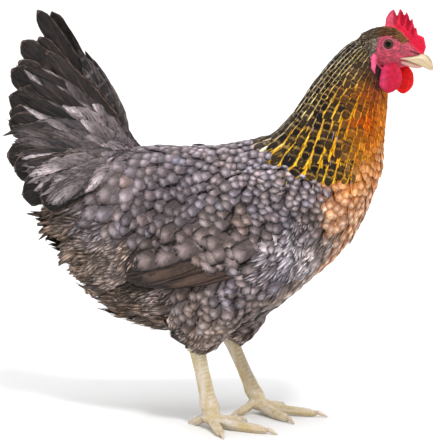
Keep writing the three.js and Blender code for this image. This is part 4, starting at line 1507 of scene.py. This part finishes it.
def add_strands(piece, centre, side, up, wide, tints, along, rng, strands=9):
    """Loose feathers, each a tuft of narrow strands that spread from its quill."""
    count = len(centre)
    place = np.linspace(-1, 1, strands) + 0.12 * rng.standard_normal((count, strands))
    reach = 1 - 0.3 * np.abs(place) + 0.1 * rng.standard_normal((count, strands))
    v = along[::2]
    at = reader(v[None, None] * np.clip(reach, 0.35, 1.1)[..., None], along)
    c, s, n = at(centre), unit(at(side)), unit(at(up))
    wide = wide[:, None, None]
    spread = place[..., None] * (0.5 * wide) * (0.35 + 0.75 * v[None, None] ** 0.8)
    spread = spread + 0.06 * wide * rng.standard_normal((count, strands, 1)) * v
    rise = (0.5 + 0.35 * rng.standard_normal((count, strands, 1))) * v * 1.5 - 0.35 * np.abs(place)[..., None]
    half = 2.3 * wide / strands * np.clip(v / 0.3, 0.3, 1) * (1.06 - v**2.2)
    tones = np.repeat(tints[:, None], strands, 1)
    own = 0.22 * rng.standard_normal((count, strands, 1, 1))
    tuft = np.clip(0.4 * rng.standard_normal((count, 1, 1, 1)), -0.8, 0.25)
    tones[..., :3] *= np.exp(own + tuft)
    c = c + s * spread[..., None] + n * rise[..., None]
    add_narrow(piece, c, s, n, half, 0.3, 0.18, tones, rng, v)


def fringe(piece, places, side, up, half, tints, along, rng, strands, reach, stations, over=0.1):
    """Frayed barbs round the end of each feather: reach is their length as a share of the feather's,
    over the share of them that stands out past its edge."""
    count, most = len(places), half.max(1)
    u = np.linspace(-0.93, 0.93, strands) + rng.normal(0, 0.04, (count, strands))
    # from the tip back to the middle, where the vane is as narrow as this
    back = slice(None, None, -1)
    outer = len(along) // 2
    shapes = (half / most[:, None])[:, back][:, :outer]
    rim = np.array([np.interp(np.abs(row), shape, along[back][:outer]) for row, shape in zip(u, shapes)])
    last = rim + over * reach + rng.normal(0, 0.16 * reach, u.shape)
    first = last - reach
    t = np.linspace(0, 1, stations)
    v = first[..., None] + (last - first)[..., None] * t
    spread = most[:, None, None] * u[..., None] * (1 + 0 * v)
    at = reader(np.clip(v, 0, 1), along)
    s, n = at(side), at(up)
    length = np.linalg.norm(places[:, -1] - places[:, 0], axis=1)[:, None, None, None]
    past_tip = np.maximum(v - 1, 0)[..., None] * length * unit(places[:, -1] - places[:, -2])[:, None, None]
    c = at(places) + past_tip + s * spread[..., None] - n * 0.35
    wide = most[:, None, None] / strands * (1.1 - 0.95 * t**2)
    tones = np.repeat(tints[:, None], strands, 1)
    tones[..., :3] *= np.exp(0.12 * rng.standard_normal((count, strands, 1, 1)))
    add_narrow(piece, c, s, n, wide, 0.2, 0.3, tones, rng, t)


# ---- long feathers: each follows a curve, given by three points ----------------------------------


def bent(first, middle, last, along):
    """A curve through three points, as (feathers, stations, 3)."""
    a, b, c = (np.asarray(p, float)[:, None] for p in (first, middle, last))
    t = along[None, :, None]
    return a * (1 - t) * (1 - 2 * t) + 4 * b * t * (1 - t) + c * t * (2 * t - 1)


def on_side(curve, sign):
    """Places above a curve that is drawn from the side, on the surface or level with the nearest place
    to it, and the ways across and up there."""
    x, z = curve[..., 0], curve[..., 2]
    places = np.empty(x.shape + (3,))
    flat = places.reshape(-1, 3)
    for i, (px, pz) in enumerate(zip(x.ravel(), z.ravel())):
        hit = ground.tree.ray_cast(Vector((px, sign * 200, pz)), Vector((0, -sign, 0)))
        if hit[0] is None:
            hit = ground.tree.find_nearest((px, sign * 60, pz))
        flat[i] = (px, hit[0][1], pz)
    _, ups = ground.snap(places)
    places[..., 1] = smooth_rows(places[..., 1])
    return places, *frames(places, ups)


def own_tints(count, colours, bar, bars, lace, rng, spread=0.08):
    """The same tints for each feather, a little lighter or darker."""
    tones = np.broadcast_to(np.stack(colours), (count, 4, 3))
    tones = tones * np.exp(spread * rng.standard_normal((count, 1, 1)))
    return with_alphas(tones, bar, bars, lace, rng)


def drawn(count, spread, rng):
    """Factors round 1."""
    return np.exp(rng.normal(0, spread, count))


def level(x, z):
    """Places in the middle plane."""
    return np.stack([x, 0 * x, z], 1)


def wing_quills(word):
    """The long feathers along the lower edge of a folded wing, and two rows of big coverts over them."""
    sign = SIDES[word]
    rng = np.random.default_rng(20 + sign)
    piece = coat("quills_" + word)
    along = towards_tip(24, 1.25)
    count = 12
    k = np.linspace(0, 1, count)
    stops = [0, 0.3, 0.6, 0.85, 1]
    root = level(84 - 104 * k**0.9, 176 + 34 * k - 16 * k**2)
    tip_x = np.interp(k, stops, [-30, -70, -88, -86, -76])
    last = level(tip_x, np.interp(k, stops, [140, 142, 149, 160, 171]))
    middle = (root + last) / 2 + level(0 * k, -6 + 5 * k)
    places, side, up = on_side(bent(root, middle, last, along), sign)
    height = -4.2 + 3.2 * k[:, None] + 0.6 * along[None]
    half = half_widths(np.full(count, 17.2), np.full(count, 0.12), along)
    tints = own_tints(count, QUILL, 0.25, 7, 0.16, rng)
    piece.add(places + up * height[..., None], side, up, half, 0.14 * half, 0.5, tints, 9, 0.02, rng, along)
    covert_row(piece, sign, along, rng, 11, 0.2, 48, 21, (-74, 82), 0)
    covert_row(piece, sign, along, rng, 12, 1.2, 36, 18, (-66, 92), 15)


COVERT_Z = [160, 166, 174, 171, 163, 160, 166, 174]  # of the lower row's tips, at QUILLS_X


def covert_row(piece, sign, along, rng, count, lift, long, wide, ends, above):
    """Big rounded coverts, smaller and greyer towards the shoulder, with their tips between these x."""
    k = np.linspace(0, 1, count)
    tip_x = np.interp(k, [0, 1], ends)
    tip_z = np.interp(tip_x, QUILLS_X, COVERT_Z) + above
    last = level(tip_x + rng.normal(0, 3, count), tip_z + rng.normal(0, 3.5, count))
    turn = np.radians(20 + 12 * k + rng.normal(0, 5, count))
    ahead = ease(25, 55, tip_x)
    length = long * (1 - 0.4 * ahead) * drawn(count, 0.12, rng)
    root = last + length[:, None] * level(np.cos(turn), np.sin(turn))
    places, side, up = on_side(bent(root, (root + last) / 2, last, along), sign)
    height = -3.5 + (3.5 + lift) * np.minimum(1, along[None] * 1.2) - 2.0 * ease(0.72, 1, along)[None] ** 1.7
    height = height + 0.25 * (np.arange(count) % 2)[:, None]
    half = half_widths(wide * (1 - 0.45 * ahead) * drawn(count, 0.12, rng), 0 * k, along)
    tints = own_tints(count, WINGED, 0.0, 4, 0.22, rng, 0.16)
    tints[..., :3] += ahead[:, None, None] * (LAVENDER - WINGED)
    piece.add(places + up * height[..., None], side, up, half, 0.17 * half, 0.4, tints, 9, 0.03, rng, along)


# ---- tail ----------------------------------------------------------------------------------------

TAIL_ROOT = np.array([-82.0, 0, 266])
TAIL_TOP, TAIL_LOW = 56.5, -28  # how far the fan's upper and lower edge rise, in degrees
TAIL_SPREAD = 1.475  # from one to the other, in radians
TAIL_LONG, TAIL_SHORT = 178, 104  # mm from the root to the tips of the first and the last long feather


def fan(sign, share, reach):
    """Where a fan of the tail is at this share of its spread and distance from its root, which way it
    runs there, and the way out of it."""
    lift = np.radians(TAIL_TOP + share * (TAIL_LOW - TAIL_TOP))
    splay = np.radians(4 + share * 20)
    run = np.stack([-np.cos(lift) * np.cos(splay), sign * np.sin(splay), np.sin(lift) * np.cos(splay)], -1)
    root = TAIL_ROOT + np.stack([0 * share, sign * (3 + share * 14), 0 * share], -1)
    face = np.stack([np.sin(splay), sign * np.cos(splay), 0 * share], -1)
    edge = unit(np.cross(face, run)) * sign
    out = unit(np.cross(run, edge))
    out = out * np.sign(out[..., 1:2] * sign)
    return root[..., None, :] + run[..., None, :] * reach[..., None], run, out


def fan_lines(sign, share, reach):
    """The same for a share at each station."""
    places, run, out = fan(sign, share.ravel(), reach.reshape(-1, 1))
    shape = (*share.shape, 3)
    return places.reshape(shape), run.reshape(shape), out.reshape(shape)


def tail_length(share):
    return TAIL_LONG + (TAIL_SHORT - TAIL_LONG) * share**0.75


def tail_quills(piece, sign):
    """The long feathers of the tail, in a fan on each side."""
    rng = np.random.default_rng(40 + sign)
    along = towards_tip(26, 1.2)
    for layer, count in enumerate((9, 8)):
        share = (np.arange(count) + 0.5) / (count + 0.3) if layer else np.linspace(0, 1, count)
        length = tail_length(share) * (1 - 0.1 * layer) + rng.normal(0, 3 + 3 * layer, count)
        places, run, out = fan(sign, share, along[None] * length[:, None])
        curl = (4 + 3 * layer) * np.sin(along * np.pi * 0.9)[None] * (0.4 - share[:, None])
        curl = curl + rng.normal(0, 3, count)[:, None] * along[None] ** 2
        up = np.broadcast_to(out[:, None], places.shape)
        side = unit(np.cross(np.broadcast_to(run[:, None], places.shape), up))
        height = (-1.2 + 1.6 * (1 - share) + 1.0 * layer)[:, None] - 2.5 * along**2
        places = places + side * (curl * sign)[..., None] + up * height[..., None]
        wide = np.interp(share, [0, 0.15, 1], [9.5, 14, 17.5]) * (1 - 0.12 * layer)
        half = wide[:, None] * tail_shape(along)[None]
        tints = own_tints(count, TAIL, 0.15, 6, 0.12, rng, 0.25)
        piece.add(places, side, up, half, 0.14 * half, 0.5, tints, 11, 0.035, rng, along)
        fringe(piece, places, side, up, half, tints, along, rng, 15, 0.1, 5, -0.1)


def tail_shape(v):
    """A long tail feather's half width as a share of the widest."""
    return np.interp(v, [0, 0.1, 0.3, 0.6, 0.8, 0.9, 0.96, 1], [0.1, 0.45, 0.8, 1, 1, 0.92, 0.7, 0.12])


def tail_coverts(piece, sign):
    """The shorter feathers over both faces of the tail, the row nearest its root on top."""
    rng = np.random.default_rng(31 + sign)
    along = towards_tip(18, 1.4)
    for row, tip in enumerate(np.arange(140, 20, -8.0)):
        count = int(tip * 1.5 / np.interp(tip, [40, 130], [7.5, 11.5]))
        share = (np.arange(count) + 0.5 * (row % 2) + 0.25 + rng.normal(0, 0.25, count)) / count
        share = np.clip(share, -0.03, 1.04)
        most = tail_length(np.clip(share, 0, 1))
        end = np.minimum(tip * (1 + rng.normal(0, 0.06, count)), most - 10)
        long = (20 + 0.6 * end) * drawn(count, 0.1, rng)
        swing = rng.normal(4, 6, count) / end / TAIL_SPREAD
        reach = end[:, None] - long[:, None] * (1 - along[None])
        places, run, out = fan_lines(sign, share[:, None] + swing[:, None] * along[None] ** 2, reach)
        side = unit(np.cross(run, out))
        height = 2.6 + 3.2 * (1 - tip / 132) + (0.5 + rng.normal(0, 0.7, count))[:, None]
        height = height - 2.6 * (1 - along[None]) ** 1.2 - 2.0 * ease(0.6, 1, along)[None] ** 2
        wide = np.interp(tip, [40, 130], [14, 19]) * drawn(count, 0.15, rng)
        half = half_widths(wide, np.full(count, 0.55), along)
        tints = covert_tints(share, end, rng)
        centre = places + out * height[..., None]
        piece.add(centre, side, out, half, 0.34 * half, 0.4, tints, 7, 0.06, rng, along)
        fringe(piece, centre, side, out, half, tints, along, rng, 9, 0.15, 4)
    barred_feathers(piece, sign, along, rng)


def covert_tints(share, end, rng):
    """Grey near the root, blackish past a line across the fan, here and there a pale one."""
    count = len(share)
    edge = np.where(share < 0.07, 96, 126 - 16 * share)
    dark = ease(-16, 16, end - edge + rng.normal(0, 16, count))[:, None, None]
    near = ease(74, 44, end)[:, None, None]
    tones = blend(blend(TAIL_COVERT, ASH, near), TAIL, dark)
    pale = ((rng.random(count) < 0.2) & (end < 112) & (end > 50))[:, None, None]
    tones = np.where(pale, TAIL_COVERT * 1.3, tones)
    tones = tones * np.exp(0.42 * rng.normal(0, 1, (count, 1, 1)).clip(-2, 0.8))
    return with_alphas(tones, 0, 3, 0.14, rng)


def barred_feathers(piece, sign, along, rng):
    """Narrow barred feathers along the tail's upper edge."""
    share = np.array([-0.1, -0.085, -0.06, -0.07, -0.03])
    end = np.array([92, 110, 122, 78, 104.0])
    above = np.array([5.4, 4.2, 4.8, 3.6, 4.4])
    count = len(share)
    reach = end[:, None] - 0.72 * end[:, None] * (1 - along[None])
    places, run, out = fan_lines(sign, share[:, None] + 0 * along[None], reach)
    half = half_widths(np.full(count, 13.0), np.full(count, 0.5), along)
    tints = own_tints(count, TAIL_BARRED, 0.85, 5.5, 0.1, rng, 0.25)
    centre = places + out * (above[:, None] - 2 * (1 - along[None]))[..., None]
    piece.add(centre, unit(np.cross(run, out)), out, half, 0.3 * half, 0.4, tints, 7, 0.04, rng, along)


body_coat()
hackle_coat()
for word in SIDES:
    wing_quills(word)
for layer in (tail_quills, tail_coverts):
    for word, sign in SIDES.items():
        layer(coat("tail_" + word), sign)
for piece in coats.values():
    piece.build()


# ---- skin ----------------------------------------------------------------------------------------


FLESH_TONES = {
    "comb": RED,
    "wattle_left": SCARLET,
    "wattle_right": colour(180, 2, 50),
    "earlobe_left": PINK,
    "earlobe_right": PINK * 1.1,
}


def wrinkles(far, places, width):
    """Rings at these distances, each as wide as this."""
    return sum(np.exp(-(((far - place) / width) ** 2)) for place in places)


def face_hue(local, mottle):
    """The bare face: rose, pinker on the cheek, darker low behind the gape, with painted shade in rings of
    creases round the eye, painted highlights on the ridges between them, painted shade low at its back and a
    dark slit of painted shade for the nostril.
    """
    x, z = local[:, 0], local[:, 2]
    cheek = ease(9, 3, np.hypot(x - 4, z - 376))[:, None]
    face = blend(ROSE * 0.95, PINK, 0.35 * cheek)
    low = ease(366, 352, z) * ease(22, 4, x)
    face = face * (1 - 0.3 * low)[:, None]
    around_eye = np.hypot(x - EYE["x"], z - EYE["z"]) + 0.5 * mottle
    # painted shade in rings of creases round the eye, and painted highlights on the ridges between them
    painted_crease_shade = wrinkles(around_eye, (7.0, 9.4, 12.2), 0.55) * ease(17, 9, around_eye)
    painted_ridge_light = wrinkles(around_eye, (8.1, 10.8), 0.6) * ease(16, 9, around_eye)
    # painted shade low at the back of the face
    painted_rear_shade = ease(372, 356, z) * ease(8, -2, x)
    face = face * np.exp(0.5 * mottle - 0.5 * painted_crease_shade + 0.22 * painted_ridge_light - 0.9 * painted_rear_shade)[:, None]
    grey = 0.45 * ease(0.1, 0.9, -mottle) + 0.35 * ease(24, 36, x) * ease(0.0, 0.8, mottle)
    face = blend(face, colour(150, 96, 112), grey[:, None])
    # the nostril, not cut into the skin: a dark slit of painted shade
    slit = ease(1.1, 0.5, np.abs(z - np.interp(x, [35, 43], [370.0, 366.8])))
    slit = slit * ease(34.5, 36, x) * ease(44, 42.5, x)
    return face * (1 - 0.85 * slit[:, None])


def flesh_hue(name, v, local, mottle):
    """Comb, wattle or earlobe, with the comb's back part paler, and the right wattle's back part paler and
    pinker, partly its own colour and partly a painted highlight.
    """
    x, z = local[:, 0], local[:, 2]
    tone = np.broadcast_to(FLESH_TONES[name], v.shape)
    if name == "comb":
        paler = ease(388, 400, z) * ease(22, 12, x)
        tone = blend(tone, colour(204, 84, 112), 0.75 * paler[:, None])
    # the right wattle's paler back: partly its own pinker colour, partly a painted highlight
    if name == "wattle_right":
        paler = ease(19, 8, x + 2 * grain(v, 6))
        tone = blend(tone, colour(206, 60, 102), 0.75 * paler[:, None])
    return tone * np.exp((0.2 if name == "comb" else 0.3) * mottle)[:, None]


def lid_hue(hue, v):
    """The lids round each eye: a paler ring, and a dark one at their opening."""
    sides = list(SIDES.values())
    from_axis = [np.linalg.norm(np.cross(v - eye_centre(side), eye_axis(side)), axis=1) for side in sides]
    y = in_head(v)[:, 1]
    far = np.where(y > 0, *from_axis)
    lid = np.abs(y) > 11
    paler = ease(4.3, 5.0, far) * ease(6.4, 5.6, far) * lid
    hue = blend(hue, colour(188, 112, 134), 0.4 * paler[:, None])
    darker = ease(5.2, 4.6, far) * lid
    return blend(hue, colour(70, 30, 40), 0.75 * darker[:, None])


def leg_hue(leg, p, n):
    """A leg's colour at these places, and how much of it shows there."""
    share, far, out, length = shank_line(leg, p)
    z, hock = p[:, 2], leg["hock"][2]
    shown = ((z < 30) | (far < 13)) * ease(hock + 2, hock - 6, z)
    plates = scutes(share * length, SCUTE, 1.0)
    # painted shade on the front of the shank just below each plate's lower edge
    under_plate_shade = 0.22 * (1 - plates) * ease(-0.1, 0.45, out[:, 0]) * (z > 26)
    # darker where the leg faces down: painted shade
    tone = IVORY * ((1 - 0.12 * ease(0.2, 0.9, -n[:, 2])) * (1 - under_plate_shade))[:, None]
    mottle = grain(p, 7.0, 6) + 0.6 * grain(p, 2.0, 8)
    tone = tone * np.exp(0.1 * mottle[:, None] * [0.6, 1.0, 1.6])
    # yellow and cream bands down the shank and along the toes, and painted shade between the toes, browner
    # and darker where they face down
    stripes = blend(grain(p * [0.2, 1, 1], 4.0, 9), grain(p * [1, 1, 0.1], 4.5, 9), ease(18, 30, z))
    tone = tone * np.exp(stripes[:, None] * [0.14, 0.24, 0.62])
    # painted shade between the toes
    painted_toe_shade = ease(17, 8, np.linalg.norm(p - leg["ball"], axis=1)) * ease(16, 6, z) * ease(0.5, -0.2, n[:, 2])
    return tone * (1 - painted_toe_shade[:, None] * [0.16, 0.3, 0.5]), shown


def head_colours(hue, kind, v):
    """Colours the head's part of the skin."""
    local = in_head(v)
    mottle = grain(v, 4.5, 2) + 0.7 * grain(v, 2.2, 4)
    bare = bare_face(v)
    hue = blend(hue, face_hue(local, mottle), bare[:, None])
    kind[:, 2] = bare
    for name in FLESH_TONES:
        far = nearest(node_form(name), v, 9)
        if name == "comb":  # the skin's comb is thinner towards its points
            far = far - 2.5 * ease(390, 396, local[:, 2])
        share = ease(2.6, 0.5, far)
        hue = blend(hue, flesh_hue(name, v, local, mottle), share[:, None])
        kind[:, 0] = np.maximum(kind[:, 0], share)
        kind[:, 2] *= 1 - share
    return lid_hue(hue, v), kind


def skin_piece():
    v, t = skin_form
    me = new_mesh("skin", v, [t])
    n = normals(v, t)
    # under the coat the skin takes the feathers' base colour, made darker as painted shade where it shows
    # between them
    hue = np.einsum("nr,rtc->ntc", says(v), COLOURS)[:, 0] * 0.8  # dark under the feathers
    kind = np.zeros((len(v), 3))
    head = (v[:, 2] > 325) & (v[:, 0] > 140)
    hue[head], kind[head] = head_colours(hue[head], kind[head], v[head])
    replaced = ["trunk", "neck", "head", "comb"]
    for word, leg in LEGS.items():
        mine = (v[:, 1] * SIDES[word] > 0) & (v[:, 2] < leg["hock"][2] + 4)
        tone, shown = leg_hue(leg, v[mine], n[mine])
        hue[mine] = blend(hue[mine], tone, shown[:, None])
        kind[mine, 1] = shown
        replaced += [f"{part}_{word}" for part in ("earlobe", "wattle", "wing", "thigh", "shank")]
        replaced += [f"toe_{word}_{toe}" for toe in leg["toes"]]
    opaque = np.ones((len(v), 1))
    set_attribute(me, "hue", np.concatenate([np.clip(hue, 0, 1), opaque], 1))
    set_attribute(me, "kind", np.concatenate([kind, opaque], 1))
    placed("skin", me, skin_look(), "face_skin", replaced)


skin_piece()


# ---- eyes, beak and claws ------------------------------------------------------------------------

EYE_LOOK = eye_look()


def eye_piece(word):
    sign = SIDES[word]
    out, at = eye_axis(sign), eye_centre(sign)
    right, up = across(out)
    lat = np.concatenate([np.linspace(0, 0.9, 40), np.linspace(0.96, np.pi, 18)])[1:-1]
    around = 64
    lon = np.linspace(0, 2 * np.pi, around, endpoint=False)
    radius = EYE["radius"] + 0.35 * ease(0.75, 0.2, lat)
    wide, high = (radius * share(lat) for share in (np.sin, np.cos))
    rings = wide[:, None, None] * (right * np.cos(lon)[:, None] + up * np.sin(lon)[:, None])
    rings = at + rings + high[:, None, None] * out
    v = np.concatenate([rings.reshape(-1, 3), [at + out * radius[0]], [at - out * radius[-1]]])
    pairs = [between(k, k + 1, around) for k in range(len(lat) - 1)]
    quads = np.concatenate([faces_of(a, c, d, b) for a, b, c, d in pairs])
    a, b, c, d = between(0, len(lat) - 1, around)
    me = new_mesh("eye_" + word, v, [quads, faces_of(len(v) - 2, a, b), faces_of(c, len(v) - 1, d)])
    from_axis = (v - at) - dot(v - at, out) * out
    far = np.linalg.norm(from_axis, axis=1)
    far = np.where(dot(v - at, out)[:, 0] < 0, 9, far)
    turn = from_axis / np.maximum(far, 0.01)[:, None]
    set_attribute(me, "gaze", np.stack([far, turn @ right, turn @ up], 1), "FLOAT_VECTOR")
    placed("eyeball_" + word, me, EYE_LOOK, "eye", ["eye_" + word])


def horn_piece(name, form, nodes, slot, material, band):
    v, t = form
    me = new_mesh(name, v, [t])
    set_attribute(me, "band", band, "FLOAT")
    placed(name, me, material, slot, nodes)


def bill_form(rows, widest, stations=44, around=36):
    """A bill on the head from rows of x, its upper edge, its lower edge and its half width. Its widest
    place is at this share of its height."""
    s, place = np.linspace(0, 1, stations), np.linspace(0, 1, len(rows))
    rows = np.array([np.interp(s, place, values) for values in zip(*rows)])
    x, top, low, wide = smooth_rows(rows, 6)[..., None]
    a = np.linspace(0, 2 * np.pi, around, endpoint=False)
    c, d = np.cos(a), np.sin(a)
    middle = low + widest * (top - low)
    up = np.where(d > 0, (top - middle) * d, -(middle - low) * np.abs(d) ** 0.6)
    y = wide * np.sign(c) * np.abs(c) ** 0.85
    v = np.stack([x + 0 * y, y, middle + up], -1).reshape(-1, 3)
    ends = [v[:around].mean(0), v[-around:].mean(0)]
    t = bands(stations, around) + caps(stations, around)
    return on_head(np.concatenate([v, ends])), np.concatenate(t)


UPPER_BILL = [
    (26, 364.0, 362.0, 13.6), (29, 364.8, 361.4, 13.4), (32, 365.4, 360.6, 12.6), (35, 366.0, 359.2, 11.4),
    (38.5, 366.8, 357.6, 10.0), (42, 367.5, 356.0, 8.6), (45.5, 367.5, 354.7, 7.2), (49, 366.2, 353.0, 5.7),
    (51.5, 364.4, 351.7, 4.4), (53.6, 361.6, 350.9, 3.1), (55, 358.6, 351.0, 2.0), (55.7, 355.6, 352.0, 0.9),
]
LOWER_BILL = [
    (27, 362.0, 357.3, 11.5), (31, 361.5, 355.2, 10.6), (35, 360.5, 353.8, 9.2), (38.5, 359.0, 353.0, 7.6),
    (41.5, 357.5, 353.2, 5.4), (43.5, 356.6, 353.8, 3.0), (44.5, 356.0, 354.4, 1.0),
]


def beak_pieces():
    """The bill's halves. The upper one is brown along its ridge and its cutting edge."""
    v, t = remeshed([bill_form(UPPER_BILL, 0.3)], 0.4, 4)
    x, y, z = in_head(v).T
    band = 0.7 * ease(3.6, 0.8, np.abs(y)) * ease(40, 49, x) * ease(356, 362, z)
    band += 0.35 * ease(0.9, 0.2, np.abs(z - np.interp(x, [30, 46, 54], [362.6, 361.5, 354])))
    horn = horn_look("beak_horn", colour(205, 186, 150), colour(120, 86, 62))
    horn_piece("bill_upper", (v, t), ["beak_upper"], "beak_horn", horn, band)
    closing = (v + 0.15 * normals(v, t), t)
    low = boolean(remeshed([bill_form(LOWER_BILL, 0.6)], 0.4, 4), [closing], "DIFFERENCE")
    horn = horn_look("beak_low_horn", colour(216, 168, 154), colour(170, 110, 96))
    horn_piece("bill_lower", low, ["beak_lower"], "beak_horn", horn, np.full(len(low[0]), 0.1))


def claw_piece():
    horn = horn_look("claw_horn", colour(222, 208, 184), colour(140, 112, 90))
    names = [f"claw_{word}_{toe}" for word, leg in LEGS.items() for toe in leg["toes"]]
    v, t = joined([remeshed([node_form(name)], 0.35, 10) for name in names])
    v[:, 2] = np.maximum(v[:, 2], 0)
    horn_piece("claws", (v, t), names, "claw_horn", horn, np.full(len(v), 0.35))


for word in SIDES:
    eye_piece(word)
beak_pieces()
claw_piece()


# ---- floor, light and camera ---------------------------------------------------------------------


def backdrop():
    """A floor that curves up into a wall all round. Its top is just under the feet."""
    flat, radius, around, below = 1300.0, 4200.0, 96, 0.3
    bend = np.linspace(0, np.radians(80), 28)
    profile = [(300.0, 0.0), (800.0, 0.0)]
    profile += [(flat + radius * math.sin(a), radius * (1 - math.cos(a))) for a in bend]
    turn = np.linspace(0, 2 * np.pi, around, endpoint=False)
    rings = [(r * math.cos(a), r * math.sin(a), z - below) for r, z in profile for a in turn]
    v = np.array(rings + [(0, 0, -below)])
    pairs = [between(k, k + 1, around) for k in range(len(profile) - 1)]
    quads = [faces_of(c, d, b, a) for a, b, c, d in pairs]
    a, b, _, _ = between(0, 1, around)
    ob = link("floor", new_mesh("floor", v, [*quads, faces_of(len(v) - 1, a, b)]))
    ob.data.materials.append(floor_look())


def lamp(name, turn, lift, spread, power):
    """Light from a far soft disc. turn is from the bird's right side to its front, lift from the floor."""
    light = bpy.data.lights.new(name, "SUN")
    light.angle, light.energy = math.radians(spread), power
    turn, lift = math.radians(turn), math.radians(lift)
    way = Vector((math.sin(turn) * math.cos(lift), -math.cos(turn) * math.cos(lift), math.sin(lift)))
    link(name, light).rotation_euler = way.to_track_quat("Z", "Y").to_euler()


def studio():
    backdrop()
    lamp("key", 30, 52, 10, 1.7)
    lamp("top", -40, 78, 50, 1.1)
    lamp("back", 190, 50, 40, 0.5)
    world = bpy.data.worlds.new("studio")
    world.use_nodes = True
    background = world.node_tree.nodes["Background"].inputs
    background["Color"].default_value = (1, 1, 1, 1)
    background["Strength"].default_value = 0.5
    bpy.context.scene.world = world
    bpy.context.scene.view_settings.view_transform = "Standard"


def camera():
    """The photograph's view, in metres and, for its sharpness, in pixels of the photograph."""
    turn, far, height = math.radians(11.0), 1.5, 0.32
    target = Vector((0.003, 0, 0.203))
    photo_pixels, focal_pixels, sensor = 440, 1500, 36.0
    lens = bpy.data.cameras.new("camera")
    lens.sensor_width = sensor
    lens.lens = sensor * focal_pixels / photo_pixels
    lens.clip_end = 50
    ob = link("camera", lens)
    ob.location = (target.x + far * math.sin(turn), -far * math.cos(turn), height)
    ob.rotation_euler = (target - ob.location).to_track_quat("-Z", "Y").to_euler()
    bpy.context.scene.camera = ob


studio()
camera()
